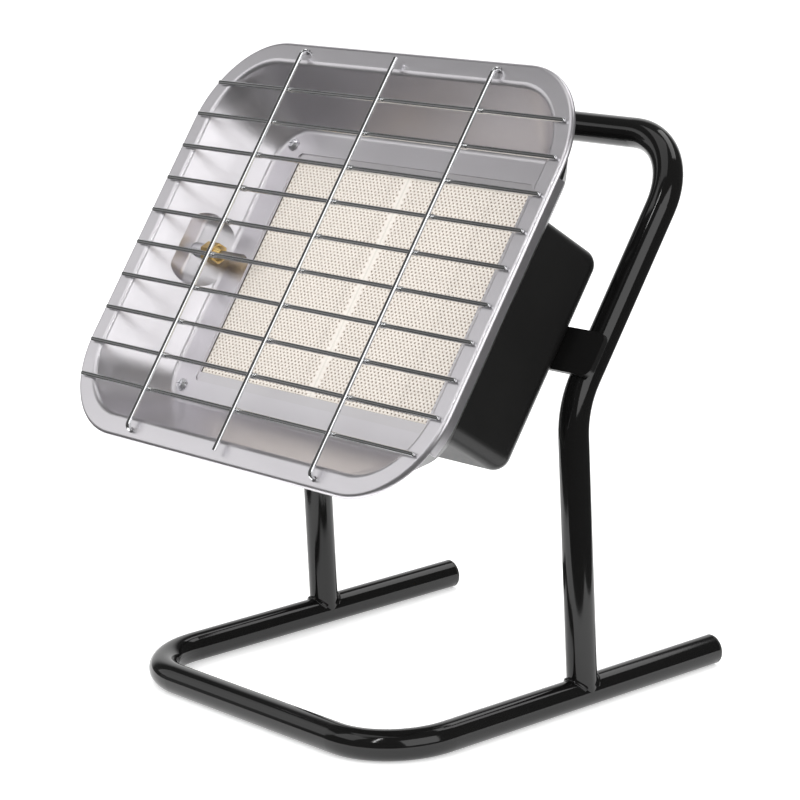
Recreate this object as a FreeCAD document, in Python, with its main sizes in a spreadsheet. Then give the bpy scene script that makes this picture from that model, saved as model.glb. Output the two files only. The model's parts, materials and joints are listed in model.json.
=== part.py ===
import FreeCAD, Part
import math
import os
import re
import Sketcher
from FreeCAD import Placement, Rotation, Vector

# Gas radiant heater on a bent-tube stand, in millimetres.
# +X is the heater's right side seen from the front, +Y points to its back, +Z is up.
# The floor is Z = 0 and the origin lies under the middle of the heater.
# Head pieces are drawn in the head's own frame: X across, Y up the tilted face, Z out of the face,
# with Z = 0 on the front of the reflector's rim. Depths are counted backwards from there.

SIZES = {
    # Stand
    "tube_dia": 16.0,
    "tube_wall": 1.5,
    "leg_spacing": 214.0,
    "base_front": 131.6,
    "base_rear": 94.0,
    "base_bend": 39.0,
    "bend_height": 159.6,
    "lean_bend": 50.0,
    "lean_length": 153.1,
    "handle_bend": 40.0,
    "tilt": 35.4,
    "plug_cap": 1.2,
    "plug_depth": 10.0,
    "plug_gap": 0.1,
    "weld_size": 1.6,
    "weld_sweep": 62.0,
    "weld_gap": 0.05,
    "wedge_near": 1.7,
    "wedge_far": 5.6,
    # Strap between the stand and the head
    "strap_overhang": 5.0,
    "strap_height": 24.0,
    "strap_gauge": 3.0,
    "strap_corner": 5.0,
    "strap_rise": 7.8,
    "bolt_spacing": 110.0,
    "bolt_dia": 6.0,
    "bolt_head": 10.0,
    "bolt_head_height": 4.0,
    "bolt_grip": 14.0,
    "bolt_hole_gap": 0.3,
    "washer_dia": 12.0,
    "washer_gauge": 1.2,
    "thread_gap": 0.05,
    # Reflector tray
    "head_rise": 18.0,
    "tray_corner": 52.0,
    "sheet_gauge": 0.8,
    "rim_width": 12.0,
    "lip_depth": 6.5,
    "lip_top": 60.5,
    "lip_bottom": 86.0,
    "edge_return": 2.4,
    "edge_bend": 2.2,
    "bowl_depth": 36.0,
    "wall_run_side": 24.0,
    "wall_run_end": 23.0,
    "floor_margin_side": 4.2,
    "floor_margin_end": 4.95,
    "floor_corner": 20.0,
    "rim_bend": 3.5,
    "floor_bend": 4.0,
    "window_lap": 1.8,
    "window_room": 2.3,
    "window_corner": 3.0,
    "recess_margin": 8.6,
    "recess_height": 43.0,
    "recess_corner": 9.0,
    "recess_step": 22.0,
    "recess_bend": 3.0,
    "recess_lap": 0.9,
    "recess_rise": 1.4,
    "recess_inside": 20.0,
    # Wire guard
    "wire_dia": 2.5,
    "wire_pitch": 19.8,
    "wire_edge_gap": 4.2,
    "wire_tip": 0.8,
    "long_wire_spacing": 77.0,
    "hook_inset": 6.65,
    "hook_bend": 3.0,
    "hook_reach": 2.6,
    "hook_hole": 3.0,
    # Burner
    "plaque_width": 94.4,
    "plaque_height": 131.0,
    "plaque_gauge": 10.4,
    "plaque_joint": 1.4,
    "cement_width": 1.2,
    "frame_cover": 1.9,
    "flange_lap_side": 12.1,
    "flange_lap_end": 11.2,
    "flange_corner": 9.0,
    "gasket_gauge": 1.6,
    "ledge_side": 7.4,
    "ledge_end": 12.0,
    "trough_depth": 18.4,
    "trough_run": 10.0,
    "trough_corner": 10.0,
    "plenum_corner": 3.0,
    "diffuser_drop": 8.0,
    "diffuser_gap": 0.15,
    "diffuser_hole": 6.0,
    "diffuser_pitch": 18.0,
    "screw_edge_side": 5.9,
    "screw_edge_end": 4.6,
    "screw_dia": 4.0,
    "screw_head": 7.0,
    "screw_head_height": 2.3,
    "screw_head_edge": 0.8,
    "screw_crown": 4.2,
    "screw_slot_length": 3.8,
    "screw_slot_width": 0.5,
    "screw_slot_depth": 1.1,
    "screw_length": 6.0,
    "screw_hole_gap": 0.15,
    "nut_across": 7.0,
    "nut_height": 2.4,
    # Rear covers
    "pan_gap": 0.4,
    "pan_corner": 66.0,
    "shoulder_side": 3.5,
    "shoulder_end": 2.9,
    "shoulder_corner": 18.0,
    "pan_clearance": 1.8,
    "pan_back_lap": 13.0,
    "pan_back_corner": 12.0,
    "pan_lap": 0.5,
    "pan_wall": 1.2,
    "pan_slot_margin": 6.0,
    "box_room_side": 7.9,
    "box_room_end": 7.3,
    "box_drop": 2.7,
    "box_gauge": 1.0,
    "box_corner": 9.0,
    "box_edge": 8.0,
    "air_slot_width": 3.0,
    "air_slot_length": 22.0,
    "air_slot_pitch": 8.0,
    "air_slots": 4,
    # Gas line, mixing tube and jet
    "gas_margin": 16.7,
    "port_margin": 21.9,
    "mixer_dia": 22.0,
    "mixer_wall": 1.0,
    "mixer_gap_front": 1.2,
    "mixer_gap_back": 5.5,
    "bell_flare": 0.9,
    "bell_length": 9.0,
    "jet_across": 10.0,
    "jet_hex_length": 6.0,
    "jet_thread_dia": 6.0,
    "jet_tip_dia": 6.0,
    "jet_tip_length": 4.0,
    "jet_thread_length": 6.0,
    "jet_orifice": 1.0,
    "jet_gap": 3.8,
    # Gas valve
    "valve_out": 19.2,
    "valve_dia": 24.0,
    "valve_length": 38.0,
    "outlet_height": 11.0,
    "inlet_height": 27.0,
    "neck_dia": 11.9,
    "neck_reach": 13.0,
    "neck_hole_gap": 0.25,
    "neck_flange_dia": 20.0,
    "neck_nut_across": 15.0,
    "neck_nut_height": 5.0,
    "inlet_boss_dia": 18.0,
    "inlet_boss_reach": 3.0,
    "gas_bore": 6.0,
    "inlet_washer_gauge": 1.5,
    "inlet_across": 17.0,
    "inlet_hex_length": 6.0,
    "inlet_thread_dia": 13.16,
    "inlet_thread_length": 10.0,
    "magnet_gap": 0.2,
    "chamber_depth": 20.0,
    "seat_bore": 8.0,
    "seat_gauge": 2.0,
    "lower_chamber_dia": 10.0,
    "lower_chamber_depth": 10.0,
    "outlet_bore": 5.0,
    "disc_dia": 10.6,
    "disc_gauge": 2.6,
    "disc_lift": 0.3,
    "magnet_dia": 12.6,
    "magnet_insert": 6.0,
    "magnet_flange_dia": 17.0,
    "magnet_flange_length": 8.0,
    "magnet_neck_dia": 11.0,
    "magnet_neck_length": 14.0,
    # Push button
    "stem_dia": 4.0,
    "stem_clearance": 0.05,
    "button_travel": 4.0,
    "button_stop": 1.0,
    "button_dia": 15.0,
    "button_height": 12.0,
    "button_edge": 1.5,
    "spring_well_gap": 1.4,
    "spring_well_depth": 5.0,
    "spring_dia": 8.6,
    "spring_wire": 0.9,
    "spring_turns": 4.0,
    # Thermocouple
    "probe_depth": 25.0,
    "probe_dia": 4.0,
    "probe_reach": 44.0,
    "probe_tail": 8.5,
    "bracket_width": 20.0,
    "bracket_top": 13.8,
    "bracket_bottom": 34.0,
    "bracket_corner": 3.0,
    "bracket_gauge": 1.2,
    "spacer_dia": 8.0,
    "spacer_length": 11.2,
    "holder_tail_dia": 6.4,
    "holder_tail": 6.5,
    "holder_hole_gap": 0.2,
    "holder_across": 10.0,
    "holder_hex_length": 10.0,
    "holder_nose_dia": 8.6,
    "holder_nose_end": 5.4,
    "holder_nose": 3.4,
    "locknut_across": 10.0,
    "locknut_height": 4.0,
    "lead_dia": 2.2,
    "lead_exit": 5.5,
    "lead_back": 27.0,
    "lead_rise": 9.0,
    "lead_loop": 26.0,
    "fitting_dia": 9.0,
    "fitting_length": 8.0,
    "fitting_grip": 5.6,
}

doc = FreeCAD.newDocument("gas_radiant_heater")
sheet = doc.addObject("Spreadsheet::Sheet", "Sizes")
for row, (alias, value) in enumerate(SIZES.items(), start=1):
    sheet.set(f"A{row}", alias)
    sheet.set(f"B{row}", str(value))
    sheet.setAlias(f"B{row}", alias)
answers = doc.addObject("Spreadsheet::Sheet", "Answers")
doc.recompute()

NAME = re.compile(r"[a-z][a-z_]*")


def formula(text):
    """The expression with each size name pointed at the sheet."""
    return NAME.sub(lambda word: f"Sizes.{word.group()}" if word.group() in SIZES else word.group(), text)


def number(text):
    """The value of an expression of size names, worked out by a sheet of its own."""
    answers.set("A1", f"={formula(text)}")
    answers.recompute()
    return float(answers.get("A1"))


def bind(feature, name, text):
    feature.setExpression(name, formula(text))


# Places that several pieces share, as expressions of the sizes
FLOOR_BACK = "(bowl_depth + sheet_gauge)"
FRAME_BACK = f"({FLOOR_BACK} + sheet_gauge)"
FLANGE_BACK = f"({FRAME_BACK} + sheet_gauge)"
PLAQUE_BACK = f"({FRAME_BACK} + plaque_gauge)"
LEDGE_FRONT = f"({PLAQUE_BACK} + gasket_gauge)"
LEDGE_BACK = f"({LEDGE_FRONT} + sheet_gauge)"
PAN_DEPTH = f"({LEDGE_BACK} + pan_clearance + sheet_gauge)"
TROUGH_FRONT = f"({LEDGE_FRONT} + trough_depth)"
TROUGH_BACK = f"({TROUGH_FRONT} + sheet_gauge)"
GAS_DEPTH = f"({TROUGH_BACK} + mixer_gap_front + mixer_dia / 2)"
BOX_DEPTH = f"({GAS_DEPTH} + mixer_dia / 2 + mixer_gap_back + box_gauge)"
STRAP_BACK = f"({BOX_DEPTH} + strap_gauge)"

# Rounded rectangles: width, height and corner radius
CELL_WIDTH = "(2 * plaque_width + plaque_joint + 2 * cement_width)"
CELL = (CELL_WIDTH, "(plaque_height + 2 * cement_width)", "plenum_corner")
FLANGE = (f"({CELL[0]} + 2 * flange_lap_side)", f"({CELL[1]} + 2 * flange_lap_end)", "flange_corner")
TROUGH = (f"({CELL[0]} - 2 * ledge_side)", f"({CELL[1]} - 2 * ledge_end)", "trough_corner")
TROUGH_FLOOR = (f"({TROUGH[0]} - 2 * trough_run)", f"({TROUGH[1]} - 2 * trough_run)", "trough_corner")
FLOOR = (f"({FLANGE[0]} + 2 * floor_margin_side)", f"({FLANGE[1]} + 2 * floor_margin_end)", "floor_corner")
OPENING_CORNER = "(tray_corner - rim_width)"
OPENING = (f"({FLOOR[0]} + 2 * wall_run_side)", f"({FLOOR[1]} + 2 * wall_run_end)", OPENING_CORNER)
TRAY = (f"({OPENING[0]} + 2 * rim_width)", f"({OPENING[1]} + 2 * rim_width)", "tray_corner")
BOX = (f"({TROUGH[0]} + 2 * box_room_side)", f"({TROUGH[1]} + 2 * box_room_end)", "box_corner")
PAN_INSET = "(sheet_gauge + pan_gap)"
PAN_EDGE = (f"({TRAY[0]} - 2 * {PAN_INSET})", f"({TRAY[1]} - 2 * {PAN_INSET})", "pan_corner")
PAN_SHOULDER = (f"({FLOOR[0]} + 2 * shoulder_side)", f"({FLOOR[1]} + 2 * shoulder_end)", "shoulder_corner")
PAN_BACK = (BOX[0], f"({BOX[1]} + 2 * pan_back_lap)", "pan_back_corner")

SCREW_X = f"({FLANGE[0]} / 2 - screw_edge_side)"
SCREW_Y = f"({FLANGE[1]} / 2 - screw_edge_end)"
SCREW_HOLE = "(screw_dia + 2 * screw_hole_gap)"
BOLT_HOLE = "(bolt_dia + 2 * bolt_hole_gap)"
HOOK_Y = f"({OPENING[1]} / 2 + hook_inset)"
RECESS_FACE = f"({OPENING[0]} / 2 - recess_margin)"
RECESS_BACK = f"({RECESS_FACE} + sheet_gauge)"
RECESS_END = f"({FLOOR[0]} / 2 + recess_lap)"
RECESS_INNER = f"({FLOOR[0]} / 2 - recess_inside)"
BRACKET_BACK = f"({RECESS_BACK} + bracket_gauge)"
GAS_Y = f"(0 - {TROUGH_FLOOR[1]} / 2 + gas_margin)"
PORT_X = f"({TROUGH_FLOOR[0]} / 2 - port_margin)"
BOX_SIDE = f"({BOX[0]} / 2)"
JET_X = f"(neck_reach - {BOX_SIDE})"
MOUTH_X = f"({JET_X} + jet_hex_length + jet_tip_length + jet_gap)"
VALVE_X = f"(0 - {BOX_SIDE} - valve_out)"
VALVE_FOOT_Y = f"({GAS_Y} - outlet_height)"
VALVE_TOP_Y = f"({VALVE_FOOT_Y} + valve_length)"
SEAT_Y = f"({VALVE_TOP_Y} - chamber_depth)"
INLET_X = f"({VALVE_X} - valve_dia / 2 - inlet_boss_reach)"
INLET_Y = f"({VALVE_FOOT_Y} + inlet_height)"
BUTTON_GAP = "(button_travel + button_stop)"
BUTTON_Y = f"({VALVE_FOOT_Y} - {BUTTON_GAP})"

# Head frame: the strap touches the leaning tubes, and the head stands on the strap
tilt = math.radians(number("tilt"))
up_face = Vector(0, math.sin(tilt), math.cos(tilt))
out_of_face = Vector(0, -math.cos(tilt), math.sin(tilt))
rim_to_tube = number(f"{STRAP_BACK} + tube_dia / 2")
head_from_bend = up_face * number("head_rise") + out_of_face * rim_to_tube
wire_end = up_face * -number(HOOK_Y) + out_of_face * number("2 * wire_dia")
front_reach = -(head_from_bend + wire_end).y
rear_reach = number("lean_length") * math.sin(tilt) + number("tube_dia / 2")
upright_y = (front_reach - rear_reach) / 2
bend_point = Vector(0, upright_y, number("bend_height"))
head_centre = bend_point + head_from_bend
HEAD = Placement(head_centre, Rotation(Vector(1, 0, 0), 90 - number("tilt")))
STAND = Placement()
ALONG_X = Rotation(Vector(0, 1, 0), 90)
AGAINST_X = Rotation(Vector(0, 1, 0), -90)
ALONG_Y = Rotation(Vector(1, 0, 0), -90)
AGAINST_Y = Rotation(Vector(1, 0, 0), 90)

# Distance at which two heights count as the same, share of a run that a bend uses,
# and points measured on each quarter turn of a coil
TOUCH = 1e-4
BEND_SHARE = 0.45
COIL_POINTS = 12

parts = {}


def keep(label, feature, place):
    """Registers a finished sub-part under its own label, at its place."""
    feature.Label = label
    feature.Placement = place
    parts[label] = feature
    return feature


# Sketch and feature helpers


def new_body(name):
    return doc.addObject("PartDesign::Body", name)


def new_sketch(body, plane="XY_Plane", level="0"):
    """Sketch on one of the body's own planes, moved along its normal to the level."""
    sketch = body.newObject("Sketcher::SketchObject", f"{body.Name}_sketch")
    support = [item for item in body.Origin.OriginFeatures if item.Role == plane][0]
    sketch.AttachmentSupport = [(support, "")]
    sketch.MapMode = "FlatFace"
    if level != "0":
        bind(sketch, "AttachmentOffset.Base.z", level)
    return sketch


def constrain(sketch, *rule):
    return sketch.addConstraint(Sketcher.Constraint(*rule))


def measure(sketch, text, *rule):
    """Dimension of the sketch that follows an expression of the sizes."""
    index = constrain(sketch, *rule, number(text))
    bind(sketch, f"Constraints[{index}]", text)


def pin_point(sketch, geometry, point, x, y):
    """Holds a point of the sketch at the place that two expressions give."""
    for kind, axis, text in (("DistanceX", -2, x), ("DistanceY", -1, y)):
        if text == "0":
            constrain(sketch, "PointOnObject", geometry, point, axis)
        else:
            measure(sketch, text, kind, -1, 1, geometry, point)


def draw_outline(sketch, corners):
    """Closed outline of straight runs between corners given as pairs of expressions."""
    points = [Vector(number(x), number(y), 0) for x, y in corners]
    base = sketch.GeometryCount
    count = len(corners)
    for index, point in enumerate(points):
        sketch.addGeometry(Part.LineSegment(point, points[(index + 1) % count]), False)
    for index, (x, y) in enumerate(corners):
        constrain(sketch, "Coincident", base + index, 2, base + (index + 1) % count, 1)
        pin_point(sketch, base + index, 1, x, y)


def draw_rectangle(sketch, width, height, x="0", y="0"):
    signs = ((1, 1), (-1, 1), (-1, -1), (1, -1))
    draw_outline(sketch, [(f"{x} + {i} * {width} / 2", f"{y} + {j} * {height} / 2") for i, j in signs])


def draw_circle(sketch, x, y, diameter):
    ring = Part.Circle(Vector(number(x), number(y), 0), Vector(0, 0, 1), number(diameter) / 2)
    index = sketch.addGeometry(ring, False)
    measure(sketch, diameter, "Diameter", index)
    pin_point(sketch, index, 3, x, y)


def draw_four(sketch, x, y, diameter):
    """Four equal circles at the corners of a rectangle round the middle."""
    for i in (-1, 1):
        for j in (-1, 1):
            draw_circle(sketch, f"{i} * {x}", f"{j} * {y}", diameter)


def draw_hexagon(sketch, across):
    reach = f"{across} / 2 / cos(30 deg)"
    draw_outline(sketch, [(f"{reach} * cos({a} deg)", f"{reach} * sin({a} deg)") for a in range(0, 360, 60)])


def draw_rounded(sketch, outline, x="0", y="0"):
    """Rectangle with round corners: four straight sides joined by four quarter arcs."""
    width, height, radius = outline
    inner_x = f"({width} / 2 - {radius})"
    inner_y = f"({height} / 2 - {radius})"
    corners = ((1, 1), (-1, 1), (-1, -1), (1, -1))
    ends = []
    for i, j in corners:
        side = (f"{x} + {i} * {width} / 2", f"{y} + {j} * {inner_y}")
        top = (f"{x} + {i} * {inner_x}", f"{y} + {j} * {height} / 2")
        ends += [side, top] if i == j else [top, side]
    points = [Vector(number(a), number(b), 0) for a, b in ends]
    base = sketch.GeometryCount
    for k in range(4):
        sketch.addGeometry(Part.LineSegment(points[2 * k + 1], points[(2 * k + 2) % 8]), False)
        pin_point(sketch, base + k, 1, *ends[2 * k + 1])
        pin_point(sketch, base + k, 2, *ends[(2 * k + 2) % 8])
    for k, (i, j) in enumerate(corners):
        centre_x = f"{x} + {i} * {inner_x}"
        centre = Vector(number(centre_x), number(f"{y} + {j} * {inner_y}"), 0)
        ring = Part.Circle(centre, Vector(0, 0, 1), number(radius))
        start = math.radians(90 * k)
        arc = sketch.addGeometry(Part.ArcOfCircle(ring, start, start + math.pi / 2), False)
        constrain(sketch, "Coincident", arc, 1, base + (k - 1) % 4, 2)
        constrain(sketch, "Coincident", arc, 2, base + k, 1)
        measure(sketch, centre_x, "DistanceX", -1, 1, arc, 3)


def grown(outline, amount):
    """A rounded rectangle that stands out all round by an amount, or in where it is negative."""
    width, height, radius = outline
    return f"({width} + 2 * {amount})", f"({height} + 2 * {amount})", f"({radius} + {amount})"


def pad(body, sketch, length, reverse=False):
    feature = body.newObject("PartDesign::Pad", f"{body.Name}_pad")
    feature.Profile = sketch
    bind(feature, "Length", length)
    feature.Reversed = reverse
    doc.recompute()
    return feature


def pocket(body, sketch, length, reverse=False):
    """Cut against the sketch's normal, or along it if reversed; it has to remove material."""
    before = body.Tip.Shape.Volume
    feature = body.newObject("PartDesign::Pocket", f"{body.Name}_pocket")
    feature.Profile = sketch
    bind(feature, "Length", length)
    feature.Reversed = reverse
    doc.recompute()
    if feature.Shape.Volume >= before:
        raise RuntimeError(f"{feature.Name} cuts nothing")
    return feature


def revolve(body, corners):
    """Round form turned about the body's own Z axis, from corners as radius and height."""
    sketch = new_sketch(body, "XZ_Plane")
    draw_outline(sketch, corners)
    feature = body.newObject("PartDesign::Revolution", f"{body.Name}_turn")
    feature.Profile = sketch
    feature.ReferenceAxis = (sketch, ["V_Axis"])
    feature.Angle = 360
    doc.recompute()
    return feature


def rounded_plate(body, outline, level, length, y="0"):
    """Pads a rounded rectangle forwards from a level."""
    sketch = new_sketch(body, level=level)
    draw_rounded(sketch, outline, y=y)
    return pad(body, sketch, length)


def loft(body, kind, ends):
    """Straight-sided transition between rounded rectangles, each with its level and perhaps its middle."""
    sections = []
    for outline, level, *middle in ends:
        sketch = new_sketch(body, level=level)
        draw_rounded(sketch, outline, *middle)
        sections.append(sketch)
    feature = body.newObject(f"PartDesign::{kind}Loft", f"{body.Name}_loft")
    feature.Profile = sections[0]
    feature.Sections = sections[1:]
    feature.Ruled = True
    doc.recompute()
    return feature


def round_edges(body, radius, wanted):
    """Fillet of the edges of the body's last shape that the test picks out."""
    base = body.Tip
    names = [f"Edge{n}" for n, edge in enumerate(base.Shape.Edges, start=1) if wanted(edge)]
    if not names:
        raise RuntimeError(f"no edges to round on {body.Name}")
    feature = body.newObject("PartDesign::Fillet", f"{body.Name}_round")
    feature.Base = (base, names)
    bind(feature, "Radius", radius)
    doc.recompute()
    return feature


def at_level(level, within=None):
    """Edge test: flat at one height, and inside a half width if one is given."""
    height = number(level)
    half = number(within) if within else math.inf

    def test(edge):
        box = edge.BoundBox
        flat = abs(box.ZMin - height) < TOUCH and abs(box.ZMax - height) < TOUCH
        return flat and max(abs(box.XMin), abs(box.XMax)) < half
    return test


def spot(x, y, z, turn=Rotation()):
    """Place in the head's frame, from expressions."""
    return Placement(Vector(number(x), number(y), number(z)), turn)


def group(label, source, places, place):
    """Separate copies of one piece, kept together as a node."""
    copies = []
    for stand in places:
        copy = source.Shape.copy()
        copy.Placement = stand
        copies.append(copy)
    return solid(label, Part.makeCompound(copies), place)


def solid(label, shape, place):
    """Sub-part whose shape follows a path in space or repeats another piece."""
    feature = doc.addObject("Part::Feature", label)
    feature.Shape = shape
    return keep(label, feature, place)


# Rods and tubes bent along a route


def corner_arc(near, corner, far, radius):
    """Arc of one radius that leads from one straight run round a corner into the next."""
    back = (near - corner).normalize()
    ahead = (far - corner).normalize()
    half = back.getAngle(ahead) / 2
    reach = radius / math.tan(half)
    centre = corner + (back + ahead).normalize() * (radius / math.sin(half))
    middle = centre + (corner - centre).normalize() * radius
    return Part.Arc(corner + back * reach, middle, corner + ahead * reach)


def easy_radius(near, corner, far):
    """A bend that uses a little less than half of the shorter run beside it."""
    half = (near - corner).getAngle(far - corner) / 2
    return BEND_SHARE * min((near - corner).Length, (far - corner).Length) * math.tan(half)


def bent_path(points, radii=None):
    """Straight runs joined by tangent arcs; without radii the bends are as easy as the runs allow."""
    edges = []
    start = points[0]
    for index, corner in enumerate(points[1:-1]):
        near = points[index]
        far = points[index + 2]
        radius = radii[index] if radii else easy_radius(near, corner, far)
        arc = corner_arc(near, corner, far, radius)
        edges += [Part.LineSegment(start, arc.StartPoint).toShape(), arc.toShape()]
        start = arc.EndPoint
    edges.append(Part.LineSegment(start, points[-1]).toShape())
    return Part.Wire(edges)


def rod(path, radius):
    """Round bar along a path."""
    first = path.OrderedEdges[0]
    start = first.valueAt(first.FirstParameter)
    ring = Part.makeCircle(radius, start, first.tangentAt(first.FirstParameter))
    return path.makePipeShell([Part.Wire(ring)], True, False)


def tube(path, radius, wall):
    return rod(path, radius).cut(rod(path, radius - wall))


# Stand


def make_stand():
    side = number("leg_spacing / 2")
    radius = number("tube_dia / 2")
    wall = number("tube_wall")
    front = upright_y - number("base_front")
    rear = upright_y + number("base_rear")
    handle = bend_point + up_face * number("lean_length")
    left_foot = Vector(-side, upright_y, radius)
    right_foot = Vector(side, upright_y, radius)
    starts = [Vector(x, front, radius) for x in (-side, side)]
    legs = [Part.makeCylinder(radius, rear - front, start, Vector(0, 1, 0)) for start in starts]

    route = [Vector(x, y, radius) for x, y in ((-side, rear), (-side, front), (side, front), (side, rear))]
    base = tube(bent_path(route, [number("base_bend")] * 2), radius, wall)
    solid("base_frame", base, STAND)

    left = [left_foot, Vector(-side, upright_y, bend_point.z), Vector(-side, handle.y, handle.z)]
    right = [Vector(side, handle.y, handle.z), Vector(side, upright_y, bend_point.z), right_foot]
    bends = [number("lean_bend"), number("handle_bend"), number("handle_bend"), number("lean_bend")]
    loop = tube(bent_path(left + right, bends), radius, wall)
    for leg in legs:
        loop = loop.cut(leg.makeOffsetShape(number("weld_gap"), TOUCH))
    solid("handle_frame", loop, STAND)

    # Beads follow the saddle line in front of and behind each upright
    beads = []
    sweep = math.radians(number("weld_sweep"))
    for foot, leg in zip((left_foot, right_foot), legs):
        post = Part.makeCylinder(radius, bend_point.z / 2, foot)
        for way in (-1, 1):
            crest = foot + Vector(0, way * radius, radius)
            saddle = Part.Ellipse(crest, foot + Vector(radius, 0, 0), foot)
            path = Part.Wire(Part.ArcOfEllipse(saddle, -sweep, sweep).toShape())
            beads.append(rod(path, number("weld_size")).cut(post).cut(leg))
    solid("upright_welds", Part.makeCompound(beads), STAND)

    plug = new_body("plug")
    spigot = "(tube_dia / 2 - tube_wall - plug_gap)"
    revolve(plug, [("0", "0 - plug_depth"), (spigot, "0 - plug_depth"), (spigot, "0"), ("tube_dia / 2", "0"),
                   ("tube_dia / 2", "plug_cap"), ("0", "plug_cap")])
    places = [Placement(Vector(x, rear, radius), Rotation(Vector(1, 0, 0), -90)) for x in (-side, side)]
    group("base_end_plugs", plug, places, STAND)


def make_strap():
    outline = ("(leg_spacing + tube_dia + 2 * strap_overhang)", "strap_height", "strap_corner")
    strap = new_body("strap")
    sketch = new_sketch(strap, level=f"0 - {STRAP_BACK}")
    draw_rounded(sketch, outline, y="strap_rise")
    for way in (-1, 1):
        draw_circle(sketch, f"{way} * bolt_spacing / 2", "strap_rise", BOLT_HOLE)
    pad(strap, sketch, "strap_gauge")
    keep("cross_strap", strap, HEAD)

    # Weld wedges fill the corner between the flat strap and the round tubes
    radius = number("tube_dia / 2")
    near = number("wedge_near")
    far = number("wedge_far")
    drop = radius - math.sqrt(radius ** 2 - far ** 2)
    height = number("strap_height - 2 * strap_corner")
    low = number("strap_rise") - height / 2
    back = -number(STRAP_BACK)
    wedges = []
    for x in (-number("leg_spacing / 2"), number("leg_spacing / 2")):
        post = Part.makeCylinder(radius, 3 * height, Vector(x, low - height, back - radius), Vector(0, 1, 0))
        for start in (x - far, x + near):
            wedges.append(Part.makeBox(far - near, height, drop, Vector(start, low, back - drop)).cut(post))
    solid("strap_welds", Part.makeCompound(wedges), HEAD)

    places = [spot(f"{way} * bolt_spacing / 2", "strap_rise", f"0 - {STRAP_BACK}") for way in (-1, 1)]
    washer = new_body("washer")
    sketch = new_sketch(washer)
    draw_circle(sketch, "0", "0", "washer_dia")
    draw_circle(sketch, "0", "0", BOLT_HOLE)
    pad(washer, sketch, "washer_gauge", reverse=True)
    group("strap_washers", washer, places, HEAD)

    bolt = new_body("bolt")
    shank = new_sketch(bolt, level="0 - washer_gauge")
    draw_circle(shank, "0", "0", "bolt_dia")
    pad(bolt, shank, "bolt_grip")
    head = new_sketch(bolt, level="0 - washer_gauge")
    draw_hexagon(head, "bolt_head")
    pad(bolt, head, "bolt_head_height", reverse=True)
    group("strap_bolts", bolt, places, HEAD)

    standoff = new_body("standoff")
    post = new_sketch(standoff, level="strap_gauge + box_gauge")
    draw_hexagon(post, "bolt_head")
    pad(standoff, post, f"{BOX_DEPTH} - box_gauge - {TROUGH_BACK}")
    bore = new_sketch(standoff, level="strap_gauge + box_gauge")
    draw_circle(bore, "0", "0", "bolt_dia + 2 * thread_gap")
    pocket(standoff, bore, "bolt_grip", reverse=True)
    group("burner_standoffs", standoff, places, HEAD)


# Reflector and guard


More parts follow.
